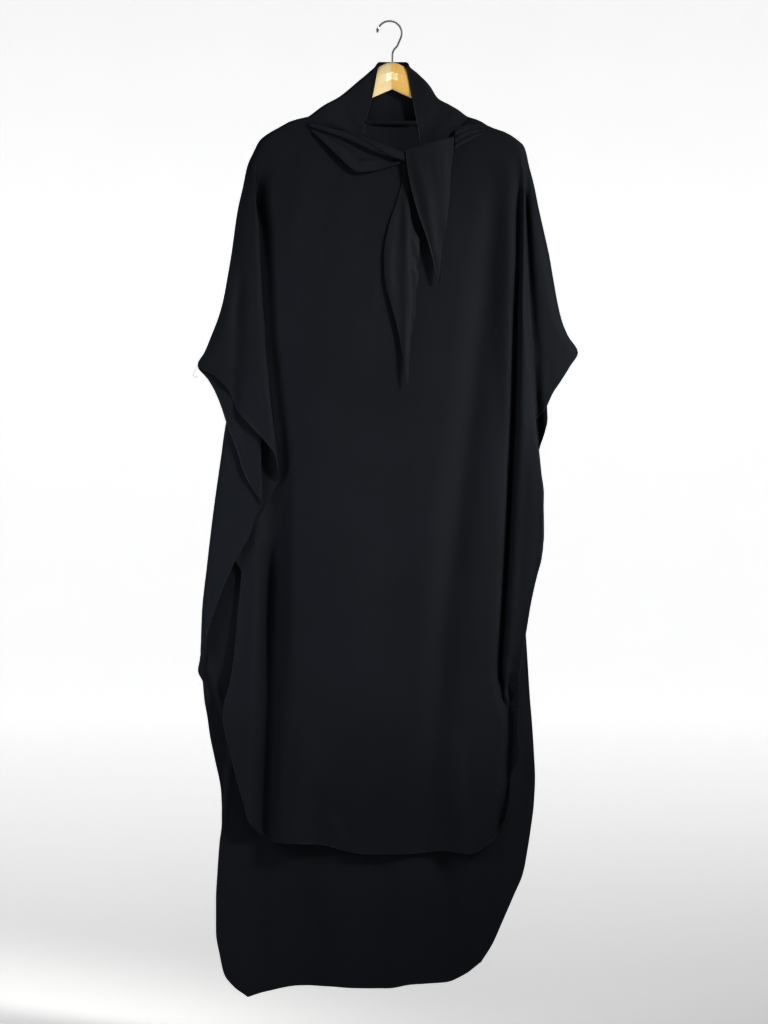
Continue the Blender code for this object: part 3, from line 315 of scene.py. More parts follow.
# Sewing
HEM_WIDTH = 6.0          # of the narrow turned hem
HEM_RISE = 0.35          # its second layer
HEM_GROOVE = 0.45        # where its stitches pull in
HEM_EASE = 1.5           # width over which the second layer begins
HEM_GROOVE_WIDTH = 1.3
HEM_ROLL_WIDTH = 1.8     # overlocked edge
HEM_ROLL_DEPTH = 1.1
ROLL_EDGE_SIDES = 8
ROLL_EDGE_IN = 0.75      # how far it lies inside the cut edge, over its half width
ROLL_EDGE_SWELL = 0.16   # how unevenly thick it is
EDGE_REACH = 14          # columns or rows in which a line beside the edge is looked for
STITCH_LENGTH = 2.6
STITCH_GAP = 0.7
THREAD = 0.45
STITCH_RISE = (0.5, 0.2)   # of a thread, and by how much more at most
STITCH_SINK = 0.4        # of a thread, at its ends
STITCH_FACES = ((0, 2, 4), (0, 4, 3), (1, 4, 2), (1, 3, 4), (0, 3, 2), (1, 2, 3))
ARM_STITCH_INSET = 3.0
SEAM_STITCH_INSET = 2.0
CHIN_STITCH_Z = -179.0
CUFF_THREAD = ((-327.5, -44.0, -590.0), (-331.0, -43.5, -597.0), (-334.5, -43.0, -604.0),
               (-334.0, -42.5, -608.5), (-330.0, -43.0, -609.0), (-327.5, -43.5, -607.0))

# Creases and hang
CREASE_FADE = 0.28       # share of a crease's length over which it dies away at each end
LONGEST_FADE = 120.0
CREASE_POINTS = 20       # of the smooth curve through a crease's line
CREASE_LEAN = 0.5
CREASED_BELOW = (-195.0, 45.0)   # the cloth on the arms is drawn flat
SEAM_FLAT = 14.0         # width beside an arm seam in which the creases die away
UNEVEN_HEIGHT = 1.1
WAVES = 10
WAVES_ACROSS = (0.012, 0.055)   # radians a millimetre
WAVES_DOWN = (-0.012, 0.012)
HEM_FLUTTER = 1.1
HEM_FLUTTER_REACH = 16.0
TUCK_DEPTH = 5.0

# Cut sizes of the sheets in metres, and their areas where they aren't rectangles
FRONT_CUT = (0.86, 1.26)
FRONT_AREA = 0.72
BACK_CUT = (0.86, 1.51)
BACK_AREA = 0.88

# Pattern sizes in millimetres
CREPE_PEBBLE = 2.4
YARN_STREAK = 5.0
WEAR_PATCH = 260.0
OVERLOCK_LOOP = 11.875
ONE_BAND = math.pi / 5   # scale at which the wave pattern has one band to a unit on each axis
WOOD_GRAIN = 3.0
WOOD_FLECK = 2.0
WOOD_PAINTED_LIGHT_TO_SHADE = (-3.0, 9.0)  # x over which the neck passes from painted light, paler cream, to painted shade, deeper golden
WIRE_HAZE = 4.0
PAPER_CLOUD = 1000.0 / 3.0

FIBRE_SHEEN = "#BAC2D0"  # what the fibre ends of crepe and thread scatter

# Picture and studio
PICTURE_CENTRE = (-10.3, -838.8)
PICTURE_HEIGHT = 1751.0
PICTURE_DEPTH = -10.0    # where the picture's scale holds
LENS = 150.0
SENSOR = 36.0
VIEW_REACH = 80.0        # metres
FLOOR_Z = -1800.0
FLOOR_HOLE = 50.0        # radius that one face closes
FLOOR_RINGS = 12
FLOOR_SIDES = 96
SWEEP_START = 13000.0    # radius at which the floor turns up
SWEEP_RADIUS = 6000.0
PAPER_GLOW = 0.63        # strength of its painted glow behind the garment, a light of the paper's own
PAPER_GLOW_HIGH = 0.51   # the same above it
ROOM_LIGHT = 0.25
PICTURE_GAMMA = 0.8      # makes the black deeper

# Lamps (name, kind, place, aim, watts, colour, settings), here in metres
SOFT_PANEL = {"shape": "RECTANGLE", "size": 0.25, "size_y": 0.5}
LAMPS = (
    ("right", "AREA", (0.75, -0.45, -0.75), (0.0, 0.0, -0.75), 4.5, "#FFFBF2", SOFT_PANEL),
    ("left", "AREA", (-0.75, -0.45, -0.9), (0.0, 0.0, -0.9), 4.0, "#F2F5FF", SOFT_PANEL),
    ("upper", "SPOT", (2.2, -1.9, 0.8), (0.0, 0.0, -0.68), 610.0, "#FFFDF8",
     {"shadow_soft_size": 0.25, "spot_size": math.radians(28.0), "spot_blend": 1.0}),
    ("strip", "AREA", (0.02, -4.0, -0.4), (0.0, 0.0, -0.1), 5.0, "#FFFFFF",
     {"shape": "RECTANGLE", "size": 0.06, "size_y": 1.6}),
)

# Creases, each (points across and up, height, width, lean). A height above zero stands towards the
# outside of the garment, on the back of the hood towards its inside. A lean above zero makes the
# fold steeper on its right.
RIGHT_GROOVE_LINE = tuple((x - 2, z) for z, x in RIGHT_GROOVE[:-1])
LEFT_VALLEY_LINE = ((-195, -760), (-198, -852), (-201, -960), (-206, -1126), (-210, -1263),
                    (-213, -1331), (-215, -1520))
DIAGONAL_LINE = ((192, -230), (170, -356), (152, -493), (135, -647), (124, -733), (111, -852),
                 (98, -955), (88, -1023), (84, -1160), (76, -1263))
WING_EDGE_LINE = ((-231, -225), (-231, -290), (-223, -367), (-216, -456), (-211, -551),
                  (-202, -640), (-192, -724), (-184, -815))
FRONT_CREASES = (
    (RIGHT_GROOVE_LINE, -8.0, 9, 0.6),
    (RIGHT_GROOVE_LINE[1:], -9.0, 5, 0.2),
    (RIGHT_GROOVE_LINE[2:], -13.0, 4.5, 0.2),
    (tuple((x + 13, z) for x, z in RIGHT_GROOVE_LINE), 2.5, 8, 0.0),
    (DIAGONAL_LINE, -4.5, 20, 0.0),
    (LEFT_VALLEY_LINE, -12.0, 28, 0.0),
    (LEFT_VALLEY_LINE[1:], -18.0, 17, 0.0),
    (tuple((x + 27, z) for x, z in LEFT_VALLEY_LINE), 3.0, 12, 0.0),
    (tuple((x - 27, z) for x, z in LEFT_VALLEY_LINE), 6.0, 13, 0.0),
    (WING_EDGE_LINE, 3.0, 9.0, 0.0),
    (((33, -262), (24, -360), (8, -520)), 1.6, 17, 0.4),
    (((60, -255), (64, -360), (52, -500)), -1.2, 20, 0.0),
    (((-30, -262), (-46, -360), (-70, -520)), -1.4, 24, 0.3),
    (((108, -232), (126, -330), (134, -470)), -1.2, 22, 0.0),
    (((-130, -212), (-158, -300), (-168, -430)), 1.5, 16, 0.3),
    (((-92, -236), (-112, -330), (-118, -450)), -1.0, 18, 0.0),
    (((-109, -1345), (-92, -1378), (-77, -1410)), 1.8, 9, 0.6),
    (((-95, -1335), (-78, -1372), (-62, -1418)), -2.0, 11, 0.0),
    (((-171, -1490), (-164, -1370), (-150, -1270), (-141, -1160)), 4.0, 17, 0.3),
    (((-136, -1490), (-131, -1370), (-120, -1290)), -3.0, 15, 0.0),
    (((131, -1490), (122, -1380), (112, -1290), (108, -1190)), 3.6, 16, -0.3),
    (((96, -1445), (88, -1370), (80, -1300)), -2.4, 15, 0.0),
    (((30, -1490), (26, -1380), (22, -1300)), 1.8, 20, 0.0),
    (((-20, -1490), (-26, -1370), (-30, -1290)), -1.6, 20, 0.0),
    (((178, -1480), (186, -1350), (190, -1290)), -2.4, 12, 0.0),
    (((203, -1098), (213, -1122), (205, -1150)), 2.6, 7, 0.5),
    (((196, -1128), (208, -1148), (214, -1176)), 2.2, 6, -0.4),
    (((200, -1110), (207, -1136), (203, -1164)), -2.4, 6, 0.0),
    (((-30, -640), (-42, -900), (-38, -1180)), 1.3, 34, 0.0),
    (((40, -620), (30, -860), (16, -1120)), -1.3, 30, 0.0),
    (((-120, -560), (-134, -800), (-140, -1060)), 1.6, 26, 0.3),
    (((160, -820), (150, -1000), (146, -1160)), 1.8, 20, 0.4),
    (((172, -1110), (188, -1122), (210, -1150), (224, -1180)), -4.0, 5, 0.0),
    (((184, -1140), (202, -1158), (222, -1190)), 3.0, 5, 0.0),
    (((206, -1060), (208, -1190), (204, -1263), (197, -1331), (184, -1391), (164, -1480)),
     -18.0, 9, 0.2),
    (((-215, -1428), (0, -1438), (225, -1430)), -17.0, 90, 0.0),
    (((-176, -700), (-186, -900), (-188, -1150)), 1.4, 12, 0.0),
)
LEFT_WING_CREASES = (
    (((-252, -400), (-257, -450), (-260, -528), (-263, -596), (-267, -650), (-272, -740)),
     -7.0, 9, 0.0),
    (((-232, -330), (-240, -450), (-252, -560)), 0.9, 12, 0.4),
    (((-300, -560), (-276, -540), (-248, -520)), 0.8, 14, 0.0),
    (((-250, -310), (-262, -390), (-270, -470)), -0.8, 9, 0.0),
    (((-222, -560), (-212, -640), (-214, -700)), -1.2, 9, 0.0),
)
RIGHT_POCKET_LINE = ((226, -200), (233, -330), (237, -410), (241, -476), (246, -560),
                     (251, -650), (257, -800))
RIGHT_WING_CREASES = (
    (RIGHT_POCKET_LINE, -9.3, 6, 0.0),
    (((238, -330), (252, -430), (276, -540)), 0.9, 12, -0.4),
    (((256, -560), (270, -600), (268, -640)), -1.2, 9, 0.0),
    (((246, -280), (262, -370), (274, -450)), -0.7, 9, 0.0),
)
BACK_RIGHT_WING_CREASES = (
    (RIGHT_POCKET_LINE, 13.0, 8, 0.0),
)
BACK_CREASES = (
    (((-230, -1450), (0, -1455), (235, -1450)), -15.0, 100, 0.0),
    (((104, -1740), (98, -1560), (96, -1380), (100, -1200)), 3.6, 15, 0.3),
    (((62, -1740), (58, -1560), (60, -1420)), -2.6, 16, 0.0),
    (((-128, -1740), (-126, -1600), (-134, -1460)), 3.2, 20, 0.0),
    (((-92, -1740), (-90, -1590), (-98, -1490)), -2.2, 16, 0.0),
    (((-24, -1740), (-20, -1560), (-14, -1380)), 2.4, 22, 0.3),
    (((20, -1740), (18, -1600), (16, -1460)), -1.8, 16, 0.0),
    (((-215, -1740), (-214, -1560), (-210, -1300), (-204, -1000), (-198, -850)), 11.0, 30, 0.0),
    (((-213, -1240), (-208, -1100), (-204, -980), (-202, -880), (-202, -770)), 12.0, 26, 0.0),
    (((214, -400), (216, -470), (214, -535), (212, -610), (209, -710), (204, -850), (199, -1000),
      (192, -1110)), 10.0, 18, 0.0),
    (((225, -245), (228, -290), (231, -330), (233, -372)), 5.0, 9, 0.0),
    (((-244, -1740), (-240, -1560), (-246, -1400)), 2.2, 16, 0.4),
    (((148, -1700), (152, -1480), (158, -1300)), 2.6, 16, -0.3),
    (((188, -1560), (196, -1380), (204, -1180)), -2.6, 14, 0.0),
    (((-150, -215), (-168, -330), (-160, -520), (-146, -760)), 4.0, 18, -0.4),
    (((-96, -215), (-110, -330), (-104, -560)), -2.6, 18, 0.0),
    (((142, -205), (166, -320), (172, -520), (160, -820)), 4.4, 18, 0.4),
    (((90, -205), (112, -340), (110, -560)), -2.8, 20, 0.0),
    (((-46, -212), (-30, -300), (-38, -480)), 1.8, 22, 0.0),
    (((44, -210), (30, -300), (34, -470)), -1.8, 20, 0.3),
    (((-230, -1100), (-216, -1240), (-222, -1380)), 3.0, 14, 0.5),
)
# The tuck at the left edge of the back panel: the strip outside this line lies further back.
LEFT_TUCK = ((-1060, -322), (-1092, -318), (-1160, -296), (-1242, -276), (-1310, -282),
             (-1372, -291), (-1410, -300))
HOOD_CREASES = (
    (((62, -214), (88, -186), (112, -160), (120, -140)), -1.6, 9, 0.0),
    (((48, -196), (74, -166), (86, -138)), 1.2, 9, 0.4),
    (((-52, -190), (-74, -160), (-84, -136)), 1.1, 10, -0.4),
    (((-60, -200), (-96, -176), (-122, -166)), -1.2, 8, 0.0),
    (((-34, -150), (-48, -120), (-44, -92)), -0.8, 9, 0.0),
    (((44, -150), (58, -122), (50, -92)), -0.8, 9, 0.0),
)
HOOD_BACK_CREASES = (
    (((-70, -176), (-40, -130), (-22, -82)), -1.5, 12, 0.4),
    (((74, -172), (46, -130), (30, -84)), -1.3, 12, -0.4),
    (((-20, -178), (4, -130), (6, -80)), -1.6, 14, 0.0),
    (((-100, -170), (-74, -142), (-52, -112)), -1.4, 9, 0.0),
)
SHORT_TAIL_CREASES = (
    (((40, -222), (62, -300), (80, -425)), 1.6, 7, 0.5),
    (((62, -214), (78, -300), (86, -420)), -1.3, 7, 0.0),
    (((88, -206), (94, -290), (89, -400)), 1.4, 6, -0.4),
    (((32, -250), (46, -300), (60, -352)), -0.9, 5, 0.0),
    (((54, -208), (80, -206), (104, -201)), 1.2, 5, 0.0),
    (((40, -232), (70, -226), (104, -222)), -1.0, 6, 0.0),
)
LONG_TAIL_CREASES = (
    (((34, -300), (30, -380), (32, -452), (34, -545)), 2.4, 4, 0.6),
    (((20, -262), (16, -340), (10, -420), (16, -520)), -1.4, 7, 0.0),
    (((30, -366), (44, -384), (49, -402)), 1.8, 4, 0.5),
    (((33, -398), (46, -412), (47, -436)), -2.0, 4, 0.0),
    (((34, -420), (44, -436), (42, -462)), 1.6, 4, -0.5),
    (((4, -370), (-2, -420), (6, -480)), 1.3, 6, 0.0),
    (((30, -480), (36, -520), (33, -580)), -1.2, 4, 0.0),
)
LOOSE_FOLD_CREASES = (
    (((-60, -241), (-36, -240), (-8, -238)), 1.6, 4, 0.5),
    (((-118, -196), (-84, -216), (-48, -236)), -1.6, 5, 0.0),
    (((-96, -216), (-70, -240), (-52, -254)), 1.2, 5, 0.4),
    (((-36, -250), (-14, -247), (12, -241)), -1.2, 4, 0.0),
)
GATHER_CREASES = (
    (((110, -184), (126, -183), (141, -183)), -1.8, 3.5, 0.0),
    (((109, -208), (126, -200), (143, -189)), -1.5, 3.0, 0.0),
    (((110, -196), (130, -192), (150, -186)), 1.2, 4.0, 0.0),
)


def smoothstep(value):
    value = np.clip(value, 0.0, 1.0)
    return value * value * (3.0 - 2.0 * value)


def below(z, start, over):
    """0 above a height, rising to 1 over so many millimetres below it."""
    return smoothstep((start - z) / over)


def above(z, start, over):
    """0 below a height, rising to 1 over so many millimetres above it."""
    return smoothstep((z - start) / over)


def bump(distance, width):
    """A soft ridge of height 1 that has died away two widths from its line."""
    return np.exp(-(distance / width) ** 2)


def along(table, key):
    """Value of a table at a key, on a smooth curve that never overshoots its rows."""
    rows = np.array(sorted(table), dtype=float)
    keys = rows[:, 0]
    values = rows[:, 1]
    steps = np.diff(keys)
    slopes = np.diff(values) / steps
    tangent = np.zeros(len(keys))
    same_way = slopes[:-1] * slopes[1:] > 0
    mean = np.zeros(len(slopes) - 1)
    mean[same_way] = (2 * slopes[:-1] * slopes[1:] / (slopes[:-1] + slopes[1:] + 1e-12))[same_way]
    tangent[1:-1] = mean
    tangent[0] = slopes[0]
    tangent[-1] = slopes[-1]
    key = np.clip(key, keys[0], keys[-1])
    index = np.clip(np.searchsorted(keys, key, side="right") - 1, 0, len(steps) - 1)
    step = steps[index]
    t = (key - keys[index]) / step
    return ((1 + 2 * t) * (1 - t) ** 2 * values[index]
            + t * (1 - t) ** 2 * step * tangent[index]
            + t * t * (3 - 2 * t) * values[index + 1]
            + t * t * (t - 1) * step * tangent[index + 1])


def column(table, number):
    """The first column of a table and one other."""
    return [(row[0], row[number]) for row in table]


def unit(vectors):
    """The vectors at length 1; one without a length stays as it is."""
    return vectors / np.maximum(np.linalg.norm(vectors, axis=-1, keepdims=True), 1e-9)


def run_along(points):
    """Distance of each point of a route from its start."""
    steps = np.linalg.norm(np.diff(points, axis=0), axis=1)
    return np.concatenate([[0.0], np.cumsum(steps)])


def sampled(key, run, points):
    """The points of a route again, at other distances along it."""
    return np.stack([np.interp(key, run, points[:, k]) for k in range(points.shape[1])], axis=-1)


def half_circle(count):
    return np.linspace(-math.pi / 2, math.pi / 2, count)


def arm_line(x):
    """Depth of the middle of the hanger's arms, which curve forward to their tips."""
    return -ARM_BEND * ((x - HANGER_CENTRE) / ARM_LENGTH) ** 2


def on_arms(z):
    """1 where the cloth lies on the arms, 0 below their tips."""
    return float(1.0 - below(z, ARMS_END_Z, ARMS_END_EASE))


def off_the_arms(x, z, way, hung):
    """Depth of a panel that lies on one face of the arms above and hangs free below."""
    blend = below(z, SHOULDER_Z, DROP)
    return (arm_line(x) + way * CLOTH_ON_ARM) * (1 - blend) + hung * blend


def front_depth(x, z):
    """Depth of the front panel's body, with its long soft folds."""
    hung = FRONT_DEPTH + FRONT_BOW * (x / BOW_REACH) ** 2
    for line, depth, width, start, over in FRONT_FOLDS:
        hung = hung + depth * below(z, start, over) * bump(x - along(line, z), width)
    rise, centre, width, start, over = BELLY_RISE
    hung = hung - rise * below(z, start, over) * bump(x - centre, width)
    return off_the_arms(x, z, -1, hung)


def back_depth(x, z):
    """Depth of the back panel's body, with long folds that hang from the hanger's arms."""
    folds = sum(depth * bump(x - centre, width) for centre, depth, width in BACK_FOLDS)
    hung = BACK_DEPTH - BACK_BOW * (x / BOW_REACH) ** 2 + folds * below(z, *BACK_FOLDS_BELOW)
    return off_the_arms(x, z, 1, hung)


class Section:
    """Half a panel, cut level: points (out, y) from its middle to beyond its edge.

    marks are the points where its body, outer turn, layer turned under and inner turn end.
    """

    def __init__(self, points, marks):
        self.points = points
        self.marks = marks
        self.lengths = run_along(points)

    def length_at(self, out, layer):
        """Arc length of the place so far out on one layer."""
        marks = self.marks
        count = len(self.points)
        flat = self.points[marks[0], 0] <= self.points[marks[3], 0] + 1e-6
        spans = {"body": (0, marks[0] + LAYER_EASE),
                 "under": (marks[1] - LAYER_EASE, marks[2] + LAYER_EASE),
                 "wing": (marks[3] - LAYER_EASE, count)}
        start, stop = (0, count) if flat else spans[layer]
        across = self.points[start:stop, 0]
        arc = self.lengths[start:stop]
        if layer == "under" and not flat:
            across = across[::-1]
            arc = arc[::-1]
        return float(np.interp(out, np.maximum.accumulate(across), arc))


class Side:
    """One half of a panel, worked outwards from its middle line to its edge.

    way is -1 for the left and 1 for the right. knots gives the main columns of the body, counts
    how many lie on the outer turn, under it, on the inner turn and on the wing. A Z fold has an
    outer and an inner turn; toward is -1 where the wing lies in front of the body and 1 where it
    lies behind it.
    """

    def __init__(self, way, edge, body_depth, level, knots, counts, seam, seam_side, outer=None,
                 inner=None, radii=(0, 0), toward=1, strength=None):
        self.way = way
        self.edge = edge
        self.body_depth = body_depth
        self.level = level
        self.knots = knots
        self.counts = counts
        self.seam = seam
        self.seam_side = seam_side
        self.outer = outer
        self.inner = inner
        self.radii = radii
        self.toward = toward
        self.strength = strength

    def body(self, out, z, start, over):
        """Points of the body, which pass from its own depth to the level of its side."""
        blend = above(out, start, over) * (1.0 - on_arms(z))
        depth = self.body_depth(self.way * out, z) * (1 - blend) + self.level(z) * blend
        return np.stack([out, depth], axis=1)

    def section(self, z):
        if self.outer is None:
            points = self.body(np.linspace(0.0, PLAIN_REACH, PLAIN_POINTS), z, *PLAIN_EASE)
            return Section(points, (PLAIN_POINTS - 1,) * 4)
        turn_out = self.way * along(self.outer, z)
        turn_in = self.way * along(self.inner, z)
        r_out, r_in = (radius * self.strength(z) for radius in self.radii)
        overlap = np.clip((turn_out - turn_in) / (r_out + r_in + 1.0), -1.0, 1.0)
        body_end = turn_out - r_out * overlap
        margin, over = EASE_BEHIND
        flat_from = body_end - margin
        if self.toward < 0:
            margin, over = EASE_IN_FRONT
            flat_from = min(body_end, turn_in) - margin
        body = self.body(np.linspace(0.0, body_end, BODY_POINTS), z, flat_from - over, over)
        angle = half_circle(TURN_POINTS)
        depth = body[-1, 1]
        turns = []
        for out, width, radius in ((turn_out, -r_out * overlap, r_out),
                                   (turn_in, r_in * overlap * PRESSED, r_in)):
            turns.append(np.stack([out + width * (1 - np.cos(angle)),
                                   depth + self.toward * radius * (1 + np.sin(angle))], axis=1))
            depth += self.toward * 2 * radius
        wing_start = turns[1][-1, 0]
        wing_out = np.linspace(wing_start, wing_start + WING_REACH, WING_POINTS)[1:]
        bow = self.body_depth(self.way * wing_out, z) - self.body_depth(self.way * wing_start, z)
        wing = np.stack([wing_out, depth + bow * on_arms(z)], axis=1)
        last = BODY_POINTS - 1
        marks = (last, last + TURN_POINTS - 1, last + TURN_POINTS, last + 2 * TURN_POINTS - 1)
        return Section(np.concatenate([body, turns[0][1:], turns[1], wing]), marks)

    def cut_length(self, z, section):
        """Arc length at which the seam or hem cuts the section off."""
        def at(x, layer):
            return section.length_at(self.way * x, layer)

        for layer, rows in self.edge:
            lowest = rows is self.edge[-1][1]
            if rows[-1][0] <= z <= rows[0][0] or (z < rows[0][0] and lowest):
                return at(along(rows, z), layer)
        for (layer, rows), (next_layer, next_rows) in zip(self.edge[:-1], self.edge[1:]):
            if next_rows[0][0] < z < rows[-1][0]:
                start = at(rows[-1][1], layer)
                end = at(next_rows[0][1], next_layer)
                share = (rows[-1][0] - z) / (rows[-1][0] - next_rows[0][0])
                return start + (end - start) * share
        return at(self.edge[0][1][0][1], "wing")

    def main_arcs(self, z):
        """Arc lengths of the main columns at one height, their section and its cut length."""
        section = self.section(z)
        marks = section.marks
        lengths = section.lengths
        cut = self.cut_length(z, section)
        on_body = slice(0, marks[0] + 1)
        body_out = np.array(self.knots(z))
        body_end = section.points[marks[0], 0]
        body_out = np.minimum(body_out, body_end - np.arange(len(body_out), 0, -1) * KNOT_GAP)
        arcs = [np.interp(body_out, section.points[on_body, 0], lengths[on_body])]
        fold_end = arcs[0][-1] + 1.0
        if self.outer is not None:
            fold_end = lengths[marks[3]]
            for start, stop, count in zip(marks[:-1], marks[1:], self.counts[:3]):
                arcs.append(np.linspace(lengths[start], lengths[stop], count + 1)[:-1])
        beyond = max(cut - fold_end, 1.0)
        arcs.append(fold_end + np.linspace(0.0, 1.0, self.counts[3] + 1)[:-1] * beyond)
        nominal = np.concatenate(arcs + [np.full(len(EDGE_COLUMNS), 1e6)])
        back = np.arange(len(nominal) - 1, -1, -1)
        outermost = len(EDGE_COLUMNS) - 1
        spacing = (np.array(EDGE_COLUMNS)[np.minimum(back, outermost)]
                   + np.maximum(back - outermost, 0) * EDGE_SQUEEZE)
        return np.minimum(nominal, cut - spacing), section, cut

    def fine_parts(self):
        """How many fine columns go between two main ones; closer at the fold and the edge."""
        steps = [np.diff(self.main_arcs(z)[0]) for z in SPACING_HEIGHTS]
        parts = np.maximum(2, np.ceil(np.mean(steps, axis=0) / FINE_STEP)).astype(int)
        fold = len(self.knots(FOLD_HEIGHT)) - 2
        parts[fold - 2:fold + 2] = FOLD_PARTS[self.way]
        parts[-6:-3] *= 2
        return parts

    def columns(self, z, parts):
        """Columns (x, y, distance from the edge, share of the wing), from the middle outwards."""
        main, section, cut = self.main_arcs(z)
        arc = subdivided(main, parts)
        out, depth = sampled(arc, section.lengths, section.points).T
        body_end = section.lengths[section.marks[0]]
        wing_start = max(section.lengths[section.marks[3]], body_end + 1.0)
        wing = np.interp(arc, (body_end - WING_EASE, body_end, wing_start, wing_start + WING_EASE),
                         (0.0, 0.5, 0.5, 1.0))
        if self.outer is None:
            wing = above(out, *PLAIN_WING)
        elif self.strength(z) < LEAST_FOLD:
            wing = np.zeros(len(arc))
        return np.stack([self.way * out, self.close_seam(depth, cut - arc, z), cut - arc, wing],
                        axis=1)

    def close_seam(self, depth, from_edge, z):
        """Bring the cloth in to the arm seam, and let it go free below the cuff."""
        rows = self.edge[0][1]
        cuff = max(rows, key=lambda row: self.way * row[1])[0]
        follow = on_arms(z)
        seam = (arm_line(along(rows, z)) * follow + self.seam(z) * (1.0 - follow)
                + self.seam_side * HALF_SEAM)
        roll = SHOULDER_ROLL * follow + SEAM_ROLL * (1.0 - follow)
        near = 1.0 - smoothstep(from_edge / roll)
        return depth + (seam - depth) * near * (1.0 - below(z, cuff, CUFF_EASE))


def left_wing(z):
    return float(along(LEFT_WING_DEPTH, z))


def right_strip(z):
    return float(along(RIGHT_STRIP_DEPTH, z))


def half_gap(z):
    return float(along(HALF_GAP, z))


def left_strength(z):
    """How far the Z fold of the left side has opened out of the flat cloth."""
    return float(below(z, *LEFT_FOLD_BELOW)) + FLAT_FOLD


def right_strength(z):
    return float(below(z, *RIGHT_FOLD_BELOW)) + FLAT_FOLD


def under_left_wing(z, gaps, body_depth, x):
    """Depth of the body's side behind the left wing's stack, and its free edge's further down."""
    stacked = left_wing(z) + LEFT_STACK * left_strength(z) + gaps * half_gap(z)
    free = float(below(z, *FOLDS_END_BELOW))
    return stacked * (1 - free) + float(body_depth(x, z)) * free


def left_front_level(z):
    return under_left_wing(z, 0, front_depth, LEFT_FRONT_EDGE_X)


def left_back_level(z):
    return under_left_wing(z, 2, back_depth, LEFT_BACK_EDGE_X)


def left_seam(z):
    return left_wing(z) + half_gap(z)


def right_seam(z):
    return right_strip(z) + RIGHT_STACK * right_strength(z) + half_gap(z)


def right_back_level(z):
    edge = right_seam(z) + half_gap(z)
    free = below(z, *RIGHT_FREE_BELOW)
    return edge * (1 - free) + RIGHT_FREE_DEPTH * free


def knots_round(line, way, inner_share):
    """Body columns that close in on one long fold of the panel."""
    def knots(z):
        fold = way * float(along(line, z))
        return [fold * share for share in inner_share] + [fold + step for step in FOLD_KNOTS]
    return knots


LEFT_KNOTS = knots_round(LEFT_VALLEY, -1, (0.0, 0.3, 0.6))
RIGHT_KNOTS = knots_round(RIGHT_GROOVE, 1, (0.0, 0.28, 0.5, 0.7))
PLAIN_KNOTS = knots_round(PLAIN_LINE, 1, (0.0, 0.3, 0.6))
FRONT_LEFT = Side(-1, FRONT_LEFT_EDGE, front_depth, left_front_level, LEFT_KNOTS, FOLD_COUNTS,
                  left_seam, -1, FRONT_LEFT_OUTER_TURN, FRONT_LEFT_INNER_TURN, LEFT_RADII_FRONT,
                  -1, left_strength)
FRONT_RIGHT = Side(1, FRONT_RIGHT_EDGE, front_depth, right_strip, RIGHT_KNOTS, FOLD_COUNTS,
                   right_seam, -1, FRONT_RIGHT_OUTER_TURN, FRONT_RIGHT_INNER_TURN, RIGHT_RADII,
                   1, right_strength)
BACK_LEFT = Side(-1, BACK_LEFT_EDGE, back_depth, left_back_level, LEFT_KNOTS, FOLD_COUNTS,
                 left_seam, 1, BACK_LEFT_OUTER_TURN, BACK_LEFT_INNER_TURN, LEFT_RADII_BACK,
                 -1, left_strength)
BACK_RIGHT = Side(1, BACK_RIGHT_EDGE, back_depth, right_back_level, PLAIN_KNOTS, PLAIN_COUNTS,
                  right_seam, 1)


def subdivided(values, parts):
    """The values with evenly spaced ones added between each two of them."""
    fine = [np.linspace(start, stop, count + 1)[:-1]
            for start, stop, count in zip(values[:-1], values[1:], parts)]
    return np.concatenate(fine + [values[-1:]])


def crossing(levels, height):
    """Height at which a column passes a border, going down."""
    under = np.nonzero(height <= 0.0)[0]
    if len(under) == 0:
        return levels[-1]
    index = under[0]
    if index == 0:
        return levels[0]
    share = height[index - 1] / (height[index - 1] - height[index])
    return levels[index - 1] + (levels[index] - levels[index - 1]) * share


def mesh_rows(rows):
    """The heights of a panel's rows, fine down to the hem and closest at it."""
    rows = np.array(rows, dtype=float)
    parts = np.maximum(1, np.ceil(-np.diff(rows) / FINE_STEP)).astype(int)
    hem_rows = rows[-1] + np.array(HEM_ROWS)
    rows = subdivided(rows, parts)
    return np.concatenate([rows[rows > hem_rows[0] + 2.0], hem_rows])


def panel_points(left, right, top, bottom, rows):
    """Grid of a panel, row by row from left to right.

    Each point is x, y, z, distance from the side edge, distance from the hem, share of the wing.
    """
    lowest = min(row[1] for row in bottom)
    levels = np.arange(rows[0], lowest - LEVEL_STEP, -LEVEL_STEP)
    left_parts = left.fine_parts()
    right_parts = right.fine_parts()
    sections = np.array([np.concatenate([left.columns(z, left_parts)[::-1],
                                         right.columns(z, right_parts)[1:]]) for z in levels])
    rows = mesh_rows(rows)
    upper = rows >= CUFF_ROW
    share = np.where(upper, (rows[0] - rows) / (rows[0] - CUFF_ROW),
                     (CUFF_ROW - rows) / (CUFF_ROW - rows[-1]))
    grid = []
    for number in range(sections.shape[1]):
        across = sections[:, number, 0]
        z_top = crossing(levels, levels - along(top, across))
        z_bottom = crossing(levels, levels - along(bottom, across))
        z = np.where(upper, z_top + (CUFF_ROW - z_top) * share,
                     CUFF_ROW + (z_bottom - CUFF_ROW) * share)
        x, y, from_edge, wing = sampled(z, levels[::-1], sections[::-1, number]).T
        sewn = above(z, CUFF_ROW, 20.0) * SEAM_FROM_HEM
        to_hem = np.minimum(from_edge + sewn, z - z_bottom)
        grid.append(np.stack([x, y, z, from_edge, to_hem, wing], axis=1))
    return np.array(grid).transpose(1, 0, 2)


